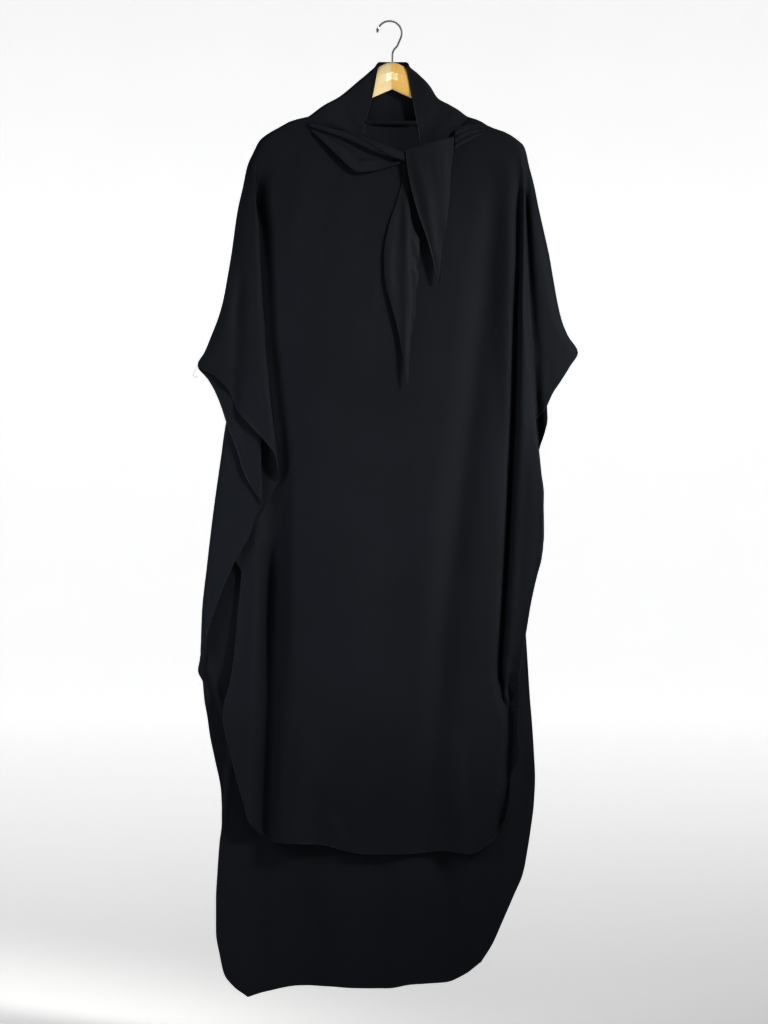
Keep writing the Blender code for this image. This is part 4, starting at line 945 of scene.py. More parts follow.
def hood_ring(z):
    """Points (x, y) once round the hood at one height, open at the face."""
    angle = half_circle(HOOD_TURN_COLUMNS)
    pinch = float(below(z, *HOOD_PINCH_BELOW))
    faces = []
    turns = []
    for edge_line, opening_line, way in ((HOOD_LEFT, OPENING_LEFT, -1),
                                         (HOOD_RIGHT, OPENING_RIGHT, 1)):
        edge = float(along(edge_line, z))
        opening = float(along(opening_line, z))
        fold = min(float(along(HOOD_FOLD, z)), way * (edge - opening) * HOOD_TURN_SHARE)
        start = edge - way * fold
        front_y = float(front_depth(start, z))
        back_y = float(back_depth(start, z))
        middle = (front_y + back_y) / 2
        half = (back_y - front_y) / 2
        rounded = half * np.sin(angle)
        pinched = np.sign(angle) * (HALF_SEAM
                                    + (half - HALF_SEAM) * smoothstep(1.0 - np.cos(angle)))
        turns.append(np.stack([start + way * fold * np.cos(angle),
                               middle + rounded * (1 - pinch) + pinched * pinch], axis=1))
        x = opening + (start - opening) * np.linspace(0.0, 1.0, HOOD_FACE_COLUMNS + 1)[:-1]
        faces.append(np.stack([x, front_depth(x, z)], axis=1))
    x = np.linspace(turns[0][-1, 0], turns[1][-1, 0], HOOD_BACK_COLUMNS)[1:-1]
    behind = np.stack([x, back_depth(x, z)], axis=1)
    return np.concatenate([faces[0], turns[0], behind, turns[1][::-1], faces[1][::-1]])


def hood_points(front_border, back_border):
    """The hood; each border is the panel's neckline, as points (x, z)."""
    levels = np.arange(HOOD_TOP_BACK, HOOD_BOTTOM, -HOOD_LEVEL_STEP)
    rings = np.array([hood_ring(z) for z in levels])
    count = rings.shape[1]
    grid = []
    for number in range(count):
        from_end = min(number, count - 1 - number)
        rim = smoothstep((from_end - HOOD_FACE_COLUMNS) / HOOD_TURN_COLUMNS)
        z_top = HOOD_TOP_FRONT + (HOOD_TOP_BACK - HOOD_TOP_FRONT) * rim
        in_front = from_end <= HOOD_FACE_COLUMNS + HOOD_TURN_COLUMNS // 2
        border_line = front_border if in_front else back_border
        z_bottom = crossing(levels, levels - np.interp(rings[:, number, 0], *border_line))
        z = np.linspace(z_top, z_bottom, HOOD_ROWS)
        grid.append(np.column_stack([sampled(z, levels[::-1], rings[::-1, number]), z]))
    return np.array(grid).transpose(1, 0, 2)


def chin_points(neckline):
    """The chin piece, between the two sides of the hood, below the face opening."""
    top = CHIN_PROFILE[0][0]
    bottom = CHIN_PROFILE[-1][0]
    arch = np.sin(math.pi * np.linspace(*CHIN_ARCH, CHIN_COLUMNS))
    grid = []
    for z in np.linspace(top, bottom, CHIN_ROWS):
        share = (top - z) / (top - bottom)
        ends = []
        for table, way in ((OPENING_LEFT, 1), (OPENING_RIGHT, -1)):
            low = float(np.interp(float(along(table, z)), *neckline))
            ends.append(float(along(table, top + (low - top) * share)) + way * CHIN_INSET)
        x = np.linspace(*ends, CHIN_COLUMNS)
        height = top + (np.interp(x, *neckline) - top) * share
        y = front_depth(x, height) - float(along(CHIN_PROFILE, z)) * arch
        grid.append(np.stack([x, y, height], axis=1))
    return np.array(grid)


def tail_points(left, right, rows, columns, lift):
    """A tie's tail between its edges; lift gives its height off the panel."""
    across = np.linspace(0.0, 1.0, columns)
    grid = []
    for share in np.linspace(0.0, 1.0, rows):
        z_left, z_right = (edge[0][0] + (edge[-1][0] - edge[0][0]) * share
                           for edge in (left, right))
        x_left = float(along(left, z_left))
        width = float(along(right, z_right)) - x_left
        x = x_left + width * across
        z = z_left + (z_right - z_left) * across
        y = front_depth(x, z) - lift(share, across, x, z, width)
        grid.append(np.stack([x, y, z], axis=1))
    return np.array(grid)


def crown(across, height):
    """A soft arch from one edge of a tail to the other."""
    return height * (1 - (2 * across - 1) ** 2)


def short_tail_lift(share, across, x, z, width):
    """The short tail stands well off the panel, arched, and its free edges curl forward."""
    top_left, top_right, tip = SHORT_TAIL_LIFT
    top = top_left + (top_right - top_left) * across
    lift = tip + (top - tip) * (1 - smoothstep(share * 1.15))
    curl = SHORT_TAIL_CURL * np.clip(np.abs(2 * across - 1) - 0.8, 0.0, 1.0) / 0.2
    return lift + crown(across, SHORT_TAIL_CROWN * width) + curl


def long_tail_lift(share, across, x, z, width):
    """The long tail leaves the knot flat, then arches, with a fold down its middle."""
    at_knot, at_tip = LONG_TAIL_LIFT
    arch = crown(across, LONG_TAIL_CROWN * width * below(z, *LONG_TAIL_ARCHED_BELOW))
    ridge = (LONG_TAIL_FOLD_HEIGHT * bump(x - LONG_TAIL_FOLD, LONG_TAIL_FOLD_WIDTH)
             * below(z, *LONG_TAIL_FOLDED_BELOW))
    return at_knot + (at_tip - at_knot) * share + arch + ridge


def loose_fold_points():
    """The slack of the left tie, from behind its roll to its free lower edge."""
    x = np.linspace(LOOSE_FOLD_EDGE[0][0], LOOSE_FOLD_EDGE[-1][0], LOOSE_FOLD_COLUMNS)
    high = along([(row[0], row[1] - BEHIND_ROLL * row[2]) for row in LEFT_ROLL], x)
    low = along(column(LOOSE_FOLD_EDGE, 1), x)
    off = LOOSE_FOLD_STAND * along(column(LOOSE_FOLD_EDGE, 2), x)
    grid = []
    for share in np.linspace(0.0, 1.0, LOOSE_FOLD_ROWS):
        z = high + (low - high) * share
        lift = TIE_LIFT + (off - TIE_LIFT) * above(share, *LOOSE_FOLD_RISE)
        grid.append(np.stack([x, front_depth(x, z) - lift, z], axis=1))
    return np.array(grid)


def gather_points():
    """Pleats of the right tie, drawn together from the knot to the shoulder."""
    knot = GATHERS[0][0]
    shoulder = GATHERS[-1][0]
    x = np.linspace(knot, shoulder, GATHER_STATIONS)
    z_top = along(column(GATHERS, 1), x)
    z_bottom = along(column(GATHERS, 2), x)
    run = (x - knot) / (shoulder - knot)
    grid = []
    for share in np.linspace(0.0, 1.0, GATHER_ROWS):
        z = z_top + (z_bottom - z_top) * share
        wave = GATHER_HEIGHT * math.sin(GATHER_WAVES * math.pi * share) ** 2
        lift = (GATHER_LIFT[0] + (GATHER_LIFT[1] - GATHER_LIFT[0]) * smoothstep(run * 1.1)
                + wave * (1 - GATHER_FLATTER * run))
        grid.append(np.stack([x, front_depth(x, z) - lift, z], axis=1))
    return np.array(grid)


def wound_roll_points():
    """The left tie wound into a roll: a strip of cloth in a flat spiral, twisted as it goes."""
    first_x = LEFT_ROLL[0][0]
    heights = column(LEFT_ROLL, 1)
    turns = np.linspace(*ROLL_TURNS, ROLL_SECTION_POINTS)
    share = np.linspace(0.0, 1.0, ROLL_SECTION_POINTS)
    grid = []
    for x in np.linspace(first_x, LEFT_ROLL[-1][0], ROLL_STATIONS):
        tilt = math.atan(float(along(heights, x + 1.0) - along(heights, x - 1.0)) / 2.0)
        half = float(along(column(LEFT_ROLL, 2), x)) - CLOTH / 2
        deep = half * ROLL_FLATNESS
        near_knot = float(above(x, *ROLL_KNOT_END))
        off = deep + ROLL_LIFT[0] + (ROLL_LIFT[1] - ROLL_LIFT[0]) * near_knot
        twist = ROLL_TWIST * (x - first_x)
        pleat = 1.0 - ROLL_PLEAT * np.maximum(0.0, np.sin(3.0 * turns + 2.0 * twist)) * share
        size = (ROLL_HEART + (1.0 - ROLL_HEART) * share) * pleat
        up = half * size * np.cos(turns + twist)
        px = x - up * math.sin(tilt)
        pz = float(along(heights, x)) + up * math.cos(tilt)
        y = front_depth(px, pz) - off - deep * size * np.sin(turns + twist)
        grid.append(np.stack([px, y, pz], axis=1))
    return np.array(grid)


def crease(x, z, line, height, width, lean):
    """Height of one soft fold at each point; it dies away towards both ends of its line."""
    line = np.array(line, dtype=float)
    reach = run_along(line)
    key = np.linspace(0.0, reach[-1], CREASE_POINTS)
    route = np.stack([along(list(zip(reach, line[:, k])), key) for k in (0, 1)], axis=1)
    passed = run_along(route)
    nearest = np.full(x.shape, 1e9)
    side = np.zeros(x.shape)
    run = np.zeros(x.shape)
    for start, stop, so_far in zip(route[:-1], route[1:], passed):
        step = np.hypot(*(stop - start))
        way = (stop - start) / step
        forward = np.clip((x - start[0]) * way[0] + (z - start[1]) * way[1], 0.0, step)
        off_x = x - start[0] - forward * way[0]
        off_z = z - start[1] - forward * way[1]
        distance = np.hypot(off_x, off_z)
        nearer = distance < nearest
        nearest = np.where(nearer, distance, nearest)
        side = np.where(nearer, np.sign(way[0] * off_z - way[1] * off_x), side)
        run = np.where(nearer, so_far + forward, run)
    total = passed[-1]
    fade = min(CREASE_FADE * total, LONGEST_FADE)
    ends = smoothstep(run / fade) * smoothstep((total - run) / fade)
    return height * ends * bump(nearest, width * (1.0 - CREASE_LEAN * lean * side))


def creases(x, z, table):
    return sum(crease(x, z, *row) for row in table)


def unevenness(x, z, seed, height):
    """The slow waves of cloth that hangs, longer down than across."""
    chance = np.random.default_rng(seed)
    waves = np.zeros(x.shape)
    for _ in range(WAVES):
        across = chance.uniform(*WAVES_ACROSS)
        down = chance.uniform(*WAVES_DOWN)
        waves += np.sin(x * across + z * down + chance.uniform(0.0, 2 * math.pi))
    return waves * height / 3.0


def outward(points, way):
    """Unit normals of a grid of points; way turns them to the outside of the garment."""
    return unit(np.cross(np.gradient(points, axis=1), np.gradient(points, axis=0))) * way


def hem_relief(to_hem):
    """The narrow turned hem: two layers thick, with the groove of its stitching."""
    turned = below(to_hem, HEM_WIDTH, HEM_EASE)
    return HEM_RISE * turned - HEM_GROOVE * bump(to_hem - HEM_WIDTH, HEM_GROOVE_WIDTH)


def tucked(x, z, line):
    """The strip outside a line lies further back, with a soft rise along the line."""
    inside = below(z, line[0][0], 40.0) * above(z, line[-1][0], 40.0)
    edge = along(line, z)
    return TUCK_DEPTH * inside * (smoothstep((edge - x) / 3.0) - 0.5 * bump(x - edge - 5.0, 6.0))


def dressed_panel(grid, way, body_creases, left_creases, right_creases, seed, tuck=None):
    """Puts the creases, the slow waves and the turned hem on a panel."""
    x, _, z, from_edge, to_hem, wing = grid.transpose(2, 0, 1)
    on_body = np.clip(1.0 - 2.0 * wing, 0.0, 1.0)
    on_wing = np.clip(2.0 * wing - 1.0, 0.0, 1.0)
    waves = unevenness(x, z, seed, UNEVEN_HEIGHT)
    body = creases(x, z, body_creases) + waves
    wings = np.where(x < 0.0, creases(x, z, left_creases), creases(x, z, right_creases))
    seam = smoothstep(from_edge / SEAM_FLAT)
    below_cuff = 1.0 - above(z, CUFF_ROW, 20.0)
    edge = seam + (1.0 - seam) * below_cuff
    height = (body * on_body + (wings + 0.25 * waves) * on_wing) * below(z, *CREASED_BELOW) * edge
    flutter = unevenness(x * 3.0, z * 3.0, seed + 1, HEM_FLUTTER)
    height += flutter * np.exp(-to_hem / HEM_FLUTTER_REACH) * np.maximum(on_body, on_wing)
    if tuck:
        height += tucked(x, z, tuck) * on_body
    moved = grid[:, :, :3].copy()
    moved[:, :, 1] += way * height
    return moved + outward(moved, way) * hem_relief(to_hem)[:, :, None]


def dressed_tie(grid, table, seed, waves=0.35):
    """Puts the creases and the slow waves on the loose cloth of a tie."""
    x = grid[:, :, 0]
    z = grid[:, :, 2]
    height = creases(x, z, table) + unevenness(x * 2.4, z * 2.4, seed, waves)
    return grid + outward(grid, -1) * height[:, :, None]


def dressed_hood(grid):
    """Puts the creases and the slow waves on the hood, down to its seam."""
    x = grid[:, :, 0]
    z = grid[:, :, 2]
    behind = np.zeros(grid.shape[:2])
    side = HOOD_FACE_COLUMNS + HOOD_TURN_COLUMNS - 4
    behind[:, side:-side] = 1.0
    height = (creases(x, z, HOOD_CREASES) * (1.0 - behind)
              + creases(x, z, HOOD_BACK_CREASES) * behind)
    off_seam = smoothstep((z - z[-1][None, :]) / 12.0)
    height = (height + unevenness(x * 1.6, z * 1.6, 31, 0.3)) * off_seam
    return grid + outward(grid, -1) * height[:, :, None]


def placed(name, data):
    """A new object in the scene."""
    made = bpy.data.objects.new(name, data)
    bpy.context.collection.objects.link(made)
    return made


def piece(name, data, finish):
    """One piece of the garment, from a mesh or curve."""
    made = placed(name, data)
    data.materials.append(finish)
    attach(made, "root")
    return made


def smooth_mesh(name, points, faces):
    """A smooth mesh through points in millimetres."""
    mesh = bpy.data.meshes.new(name)
    mesh.from_pydata((np.asarray(points) * MM).tolist(), [], faces)
    mesh.shade_smooth()
    return mesh


def grid_faces(rows, columns, closed=False):
    """The faces between the points of a grid; a closed one joins its last column to its first."""
    faces = []
    for r in range(rows - 1):
        for c in range(columns if closed else columns - 1):
            d = (c + 1) % columns
            faces.append((r * columns + c, (r + 1) * columns + c, (r + 1) * columns + d,
                          r * columns + d))
    return faces


def cloth(name, node, grid, finish):
    """A sheet of cloth through a grid of points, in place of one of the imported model's solids."""
    points = grid[:, :, :3].reshape(-1, 3)
    made = piece(name, smooth_mesh(name, points, grid_faces(*grid.shape[:2])), finish)
    shell = made.modifiers.new("Thickness", "SOLIDIFY")
    shell.thickness = CLOTH * MM
    shell.offset = 0.0
    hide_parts(node)
    return made


def inside_line(grid, depth, cuff_row):
    """The line at one distance inside the free edge of a panel, with the direction inwards.

    It runs from the left cuff down, along the bottom hem and up to the right cuff.
    """
    points = grid[:, :, :3]
    near = EDGE_REACH

    def at(line, distances):
        order = np.argsort(distances)
        return [sampled(depth + further, distances[order], line[order]) for further in (0.0, 4.0)]

    last = grid.shape[0] - len(HEM_ROWS) - 1
    found = [at(points[row, :near], grid[row, :near, 3]) for row in range(cuff_row, last)]
    for number in range(near, grid.shape[1] - near):
        line = points[-near:, number]
        found.append(at(line, line[:, 2] - points[-1, number, 2]))
    for row in range(last - 1, cuff_row - 1, -1):
        found.append(at(points[row, -near:], grid[row, -near:, 3]))
    found = np.array(found)
    return found[:, 0], unit(found[:, 1] - found[:, 0])


def evenly(route, vectors, pitch):
    """The route and its vectors again at even steps, with the distance of each along it."""
    reach = run_along(route)
    key = np.linspace(0.0, reach[-1], max(2, int(reach[-1] / pitch)))
    return sampled(key, reach, route), sampled(key, reach, vectors), key


def rolled_edge(name, route, inwards, finish, width=HEM_ROLL_WIDTH, depth=HEM_ROLL_DEPTH,
                pitch=3.0, seed=1):
    """The overlocked edge of a hem: a flat roll of cloth and thread round the cut edge."""
    chance = np.random.default_rng(seed)
    route, inwards, _ = evenly(route, inwards, pitch)
    tangent = unit(np.gradient(route, axis=0))
    inwards = unit(inwards - tangent * (inwards * tangent).sum(axis=1, keepdims=True))
    normal = np.cross(tangent, inwards)
    swell = 1.0 + ROLL_EDGE_SWELL * chance.standard_normal(len(route))
    rows = len(route)
    sides = ROLL_EDGE_SIDES
    turn = 2 * math.pi * np.arange(sides) / sides
    across = (np.cos(turn) + ROLL_EDGE_IN) * width / 2
    up = swell[:, None] * np.sin(turn) * depth / 2
    points = (route[:, None] + inwards[:, None] * across[:, None]
              + normal[:, None] * up[:, :, None])
    faces = grid_faces(rows, sides, closed=True)
    faces.append(tuple(range(sides)))
    faces.append(tuple(range((rows - 1) * sides, rows * sides))[::-1])
    return piece(name, smooth_mesh(name, points.reshape(-1, 3), faces), finish)


def stitches(name, route, normals, finish, seed=3):
    """A row of single stitches that lie on the cloth, each sunk a little at its ends."""
    chance = np.random.default_rng(seed)
    fine, up, run = evenly(route, normals, 0.5)
    points = []
    faces = []
    start = 0.0
    while start + STITCH_LENGTH < run[-1]:
        first, middle, last = sampled(start + STITCH_LENGTH * np.array((0.0, 0.5, 1.0)), run, fine)
        lift = unit(sampled(start, run, up))
        side = np.cross(unit(last - first), lift) * THREAD / 2
        rise = lift * (CLOTH / 2 + THREAD * (STITCH_RISE[0] + STITCH_RISE[1] * chance.random()))
        low = lift * (CLOTH / 2 - THREAD * STITCH_SINK)
        faces += [tuple(len(points) + k for k in face) for face in STITCH_FACES]
        points += [first + low, last + low, middle + side + low, middle - side + low,
                   middle + rise]
        start += STITCH_LENGTH + STITCH_GAP
    return piece(name, smooth_mesh(name, points, faces), finish)


def normals_along(route, inwards, way):
    """Normals of the cloth beside a line, turned to the outside."""
    normal = unit(np.cross(np.gradient(route, axis=0), inwards))
    front = np.sign(normal[:, 1:2]) * way
    front[front == 0.0] = 1.0
    return normal * front


def sewn_row(name, line, inwards, finish, way=-1, inset=0.0):
    """A row of stitches so far inside a line."""
    return stitches(name, line + inwards * inset, normals_along(line, inwards, way), finish)


def border(grid, edge):
    """One border of a grid as points, with the direction into the sheet."""
    points = grid[:, :, :3]
    lines = {"left": (points[:, 0], points[:, 2]), "right": (points[:, -1], points[:, -3]),
             "top": (points[0], points[2]), "bottom": (points[-1], points[-3])}
    line, inner = lines[edge]
    return line, unit(inner - line)


def joined(*borders):
    """Borders of one sheet, end to end."""
    return (np.concatenate([line for line, _ in borders]),
            np.concatenate([inwards for _, inwards in borders]))


def backwards(one):
    return one[0][::-1], one[1][::-1]


def loose_thread(finish):
    """The end of the overlock thread that hangs from the left cuff."""
    curve = bpy.data.curves.new("left_cuff_thread", "CURVE")
    curve.dimensions = "3D"
    curve.bevel_depth = THREAD / 2 * MM
    curve.bevel_resolution = 2
    curve.use_fill_caps = True
    spline = curve.splines.new("BEZIER")
    spline.bezier_points.add(len(CUFF_THREAD) - 1)
    for point, place in zip(spline.bezier_points, CUFF_THREAD):
        point.co = [value * MM for value in place]
        point.handle_left_type = "AUTO"
        point.handle_right_type = "AUTO"
    return piece("left_cuff_thread", curve, finish)


def linear(colour):
    """Linear colour with alpha from an sRGB hex value."""
    channels = [int(colour[k:k + 2], 16) / 255.0 for k in (1, 3, 5)]
    return (*[c / 12.92 if c <= 0.04045 else ((c + 0.055) / 1.055) ** 2.4 for c in channels], 1.0)


def add(tree, kind, inputs=None, **settings):
    """A node with its settings; an input takes a value, or the output that it is linked to.

    Where colours are mixed, inputs 6 and 7 are the two colours and output 2 is the mixed one.
    """
    node = tree.nodes.new("ShaderNode" + kind)
    for name, value in settings.items():
        setattr(node, name, value)
    for name, value in (inputs or {}).items():
        if isinstance(value, bpy.types.NodeSocket):
            tree.links.new(value, node.inputs[name])
        else:
            node.inputs[name].default_value = value
    return node


def begun(name):
    """A new material with its node tree and the place on the object that its patterns follow."""
    made = bpy.data.materials.new(name)
    made.use_nodes = True
    tree = made.node_tree
    tree.nodes.clear()
    return made, tree, add(tree, "TexCoord").outputs["Object"]


def finished(made, shader):
    add(made.node_tree, "OutputMaterial", {"Surface": shader.outputs["BSDF"]})
    return made


def per_millimetre(size):
    """Scale of a texture on object coordinates, in metres, for one feature of this size."""
    return 1000.0 / size


def black_crepe(name, deep, worn, sheen):
    """Polyester crepe, tightly twisted yarn woven plain and dyed black in the piece.

    The twist gives it a dry pebbled face that scatters what light it takes, so folds show as soft
    grey on near black. The pebbles are 0.6 mm and drawn at 2.4 mm, four times coarser, to show.
    """
    made, tree, place = begun(name)
    pebbles = add(tree, "TexNoise",
                  {"Vector": place, "Scale": per_millimetre(CREPE_PEBBLE), "Detail": 3.0,
                   "Roughness": 0.65})
    stretched = add(tree, "Mapping", {"Vector": place, "Scale": (1.0, 1.0, 0.12)})
    yarn = add(tree, "TexNoise",
               {"Vector": stretched.outputs["Vector"], "Scale": per_millimetre(YARN_STREAK),
                "Detail": 2.0})
    wear = add(tree, "TexNoise",
               {"Vector": place, "Scale": per_millimetre(WEAR_PATCH), "Detail": 4.0,
                "Roughness": 0.55})
    faded = add(tree, "MapRange",
                {"Value": wear.outputs["Fac"], "From Min": 0.35, "From Max": 0.7})
    streaked = add(tree, "Math", {0: yarn.outputs["Fac"], 1: 0.5}, operation="MULTIPLY")
    mixed = add(tree, "Math", {0: faded.outputs["Result"], 1: streaked.outputs["Value"]},
                operation="MULTIPLY")
    colour = add(tree, "Mix", {"Factor": mixed.outputs["Value"], 6: linear(deep),
                               7: linear(worn)}, data_type="RGBA")
    dry = add(tree, "MapRange",
              {"Value": pebbles.outputs["Fac"], "To Min": 0.62, "To Max": 0.86})
    grain = add(tree, "Math", {0: pebbles.outputs["Fac"], 1: yarn.outputs["Fac"]},
                operation="ADD")
    relief = add(tree, "Bump",
                 {"Height": grain.outputs["Value"], "Strength": 0.35, "Distance": 0.0004})
    shader = add(tree, "BsdfPrincipled",
                 {"Base Color": colour.outputs[2], "Roughness": dry.outputs["Result"],
                  "Normal": relief.outputs["Normal"], "IOR": 1.5, "Specular IOR Level": 0.08,
                  "Sheen Weight": sheen, "Sheen Roughness": 0.35,
                  "Sheen Tint": linear(FIBRE_SHEEN)})
    return finished(made, shader)


def overlock_thread(name):
    """Spun polyester thread laid close round a cut edge, smoother than the crepe.

    Its loops sit side by side and catch light as a thin brighter line. They are 1.2 mm apart and
    drawn about 12 mm apart to show.
    """
    made, tree, place = begun(name)
    loops = add(tree, "TexWave",
                {"Vector": place, "Scale": per_millimetre(OVERLOCK_LOOP) * ONE_BAND,
                 "Distortion": 1.5, "Detail": 1.0}, bands_direction="DIAGONAL")
    colour = add(tree, "Mix", {"Factor": loops.outputs["Fac"], 6: linear("#111417"),
                               7: linear("#1E2226")}, data_type="RGBA")
    relief = add(tree, "Bump",
                 {"Height": loops.outputs["Fac"], "Strength": 0.5, "Distance": 0.0005})
    shader = add(tree, "BsdfPrincipled",
                 {"Base Color": colour.outputs[2], "Roughness": 0.5,
                  "Normal": relief.outputs["Normal"], "IOR": 1.5, "Specular IOR Level": 0.15,
                  "Sheen Weight": 0.04, "Sheen Roughness": 0.4,
                  "Sheen Tint": linear(FIBRE_SHEEN)})
    return finished(made, shader)


def varnished_beech(name):
    """Beech, turned, sanded and dipped in clear varnish.

    The varnish gives soft glints over a fine straight grain that runs along the arm, with the
    short dark flecks of its rays. The grain is 3 mm wide. Across the neck it passes from paler
    cream on the left, painted light, to deeper golden on the right, painted shade.
    """
    made, tree, place = begun(name)
    lengthways = add(tree, "Mapping", {"Vector": place, "Scale": (0.08, 1.0, 1.0)})
    grain = add(tree, "TexNoise",
                {"Vector": lengthways.outputs["Vector"], "Scale": per_millimetre(WOOD_GRAIN),
                 "Detail": 5.0, "Roughness": 0.6, "Distortion": 0.4})
    short = add(tree, "Mapping", {"Vector": place, "Scale": (0.35, 1.0, 1.0)})
    flecks = add(tree, "TexVoronoi",
                 {"Vector": short.outputs["Vector"], "Scale": per_millimetre(WOOD_FLECK)})
    darker = add(tree, "MapRange",
                 {"Value": flecks.outputs["Distance"], "From Min": 0.0, "From Max": 0.28,
                  "To Min": 0.45, "To Max": 0.0})
    both = add(tree, "Math",
               {0: grain.outputs["Fac"], 1: darker.outputs["Result"]}, operation="ADD",
               use_clamp=True)
    across = add(tree, "SeparateXYZ", {"Vector": place})
    golden = add(tree, "MapRange",
                 {"Value": across.outputs["X"], "From Min": WOOD_PAINTED_LIGHT_TO_SHADE[0] * MM,
                  "From Max": WOOD_PAINTED_LIGHT_TO_SHADE[1] * MM}, interpolation_type="SMOOTHSTEP")
    # painted light and shade: the paler cream pair on the lit left of the neck, the deeper golden
    # pair on its shaded right
    tones = [add(tree, "Mix", {"Factor": both.outputs["Value"], 6: linear(plain),
                               7: linear(grained)}, data_type="RGBA").outputs[2]
             for plain, grained in (("#F6E5BE", "#EED49C"), ("#F0CC80", "#E4B65E"))]
    colour = add(tree, "Mix", {"Factor": golden.outputs["Result"], 6: tones[0],
                               7: tones[1]}, data_type="RGBA")
    worn = add(tree, "MapRange",
               {"Value": grain.outputs["Fac"], "To Min": 0.34, "To Max": 0.5})
    relief = add(tree, "Bump",
                 {"Height": grain.outputs["Fac"], "Strength": 0.12, "Distance": 0.0003})
    shader = add(tree, "BsdfPrincipled",
                 {"Base Color": colour.outputs[2], "Roughness": worn.outputs["Result"],
                  "Normal": relief.outputs["Normal"], "IOR": 1.5, "Coat Weight": 1.0,
                  "Coat Roughness": 0.07, "Coat IOR": 1.5})
    return finished(made, shader)


def chromed_wire(name):
    """Mild steel wire, bent cold and chrome plated.

    It mirrors the pale room, with a faint haze of fine draw lines and handling marks.
    """
    made, tree, place = begun(name)
    haze = add(tree, "TexNoise",
               {"Vector": place, "Scale": per_millimetre(WIRE_HAZE), "Detail": 4.0})
    rough = add(tree, "MapRange",
                {"Value": haze.outputs["Fac"], "To Min": 0.06, "To Max": 0.24})
    colour = add(tree, "Mix", {"Factor": haze.outputs["Fac"], 6: linear("#C9CBCE"),
                               7: linear("#AEB0B4")}, data_type="RGBA")
    shader = add(tree, "BsdfPrincipled",
                 {"Base Color": colour.outputs[2], "Metallic": 1.0,
                  "Roughness": rough.outputs["Result"]})
    return finished(made, shader)


def matt_paper(name):
    """White background paper, uncoated, that glows with a painted light of its own.

    It is even and without any glint. Its painted glow is brightest behind the garment and weaker
    higher up, and painted shade makes it a little greyer towards the lower right.
    """
    made, tree, place = begun(name)
    clouds = add(tree, "TexNoise",
                 {"Vector": place, "Scale": per_millimetre(PAPER_CLOUD), "Detail": 2.0})
    tone = add(tree, "Mix", {"Factor": clouds.outputs["Fac"], 6: linear("#F8F8F7"),
                             7: linear("#FDFDFD")}, data_type="RGBA")
    axes = add(tree, "SeparateXYZ", {"Vector": place})
    nearness = add(tree, "MapRange",
                   {"Value": axes.outputs["Y"], "From Min": -SWEEP_START * MM,
                    "From Max": SWEEP_START * MM, "To Min": 2.0, "To Max": 0.0})
    near = add(tree, "Math", {0: nearness.outputs["Result"], 1: 3.0},
               operation="POWER")
    right = add(tree, "MapRange",
                {"Value": axes.outputs["X"], "From Min": -0.9, "From Max": 0.9,
                 "To Min": 0.25, "To Max": 0.36})
    high = add(tree, "MapRange",
               {"Value": axes.outputs["Z"], "From Min": 0.6, "From Max": 2.2,
                "To Min": PAPER_GLOW, "To Max": PAPER_GLOW_HIGH})
    # painted shade: the glow is taken down towards the front and the right
    painted_shade = add(tree, "Math",
                 {0: near.outputs["Value"], 1: right.outputs["Result"]}, operation="MULTIPLY")
    glow = add(tree, "Math",
               {0: high.outputs["Result"], 1: painted_shade.outputs["Value"]}, operation="SUBTRACT",
               use_clamp=True)
    # the emission is painted light: the paper glows though it is no lamp
    shader = add(tree, "BsdfPrincipled",
                 {"Base Color": tone.outputs[2], "Roughness": 0.95, "Specular IOR Level": 0.1,
                  "Emission Color": linear("#FDFDFD"),
                  "Emission Strength": glow.outputs["Value"]})
    return finished(made, shader)


def camera():
    """Level with the middle of the garment, square to it, and far enough to flatten it."""
    view = bpy.data.cameras.new("camera")
    view.lens = LENS
    view.sensor_width = SENSOR
    view.clip_end = VIEW_REACH
    made = placed("camera", view)
    distance = PICTURE_HEIGHT * MM / SENSOR * LENS
    made.location = (PICTURE_CENTRE[0] * MM, PICTURE_DEPTH * MM - distance, PICTURE_CENTRE[1] * MM)
    made.rotation_euler = (math.pi / 2, 0.0, 0.0)
    bpy.context.scene.camera = made


def sweep():
    """A pale floor that curves up far behind and around, so no edge of it shows."""
    profile = [(radius, FLOOR_Z) for radius in np.linspace(FLOOR_HOLE, SWEEP_START, FLOOR_RINGS)]
    for degrees in range(6, 91, 6):
        turn = math.radians(degrees)
        profile.append((SWEEP_START + SWEEP_RADIUS * math.sin(turn),
                        FLOOR_Z + SWEEP_RADIUS * (1 - math.cos(turn))))
    points = []
    for radius, z in profile:
        for k in range(FLOOR_SIDES):
            turn = 2 * math.pi * k / FLOOR_SIDES
            points.append((radius * math.cos(turn), radius * math.sin(turn), z))
    faces = grid_faces(len(profile), FLOOR_SIDES, closed=True)
    faces.append(tuple(range(FLOOR_SIDES)))
    mesh = smooth_mesh("floor", points, faces)
    mesh.materials.append(matt_paper("background_paper"))
    placed("floor", mesh)


def lighting():
    """A dim pale room with four studio lights.

    A soft one stands on each side at mid height, one high on the right throws the shadows of the
    ties to the lower left, and a narrow strip in front draws the glint down the varnish.
    """
    room = bpy.data.worlds.new("room")
    room.use_nodes = True
    backdrop = room.node_tree.nodes["Background"]
    backdrop.inputs["Color"].default_value = linear("#FDFDFF")
    backdrop.inputs["Strength"].default_value = ROOM_LIGHT
    bpy.context.scene.world = room
    for name, kind, place, aim, watts, colour, settings in LAMPS:
        lamp = bpy.data.lights.new(name, kind)
        lamp.energy = watts
        lamp.color = linear(colour)[:3]
        for setting, value in settings.items():
            setattr(lamp, setting, value)
        made = placed(name, lamp)
        made.location = place
        made.rotation_euler = (Vector(aim) - Vector(place)).to_track_quat("-Z", "Y").to_euler()
        made.visible_camera = False
    look = bpy.context.scene.view_settings
    look.view_transform = "Standard"
    look.gamma = PICTURE_GAMMA


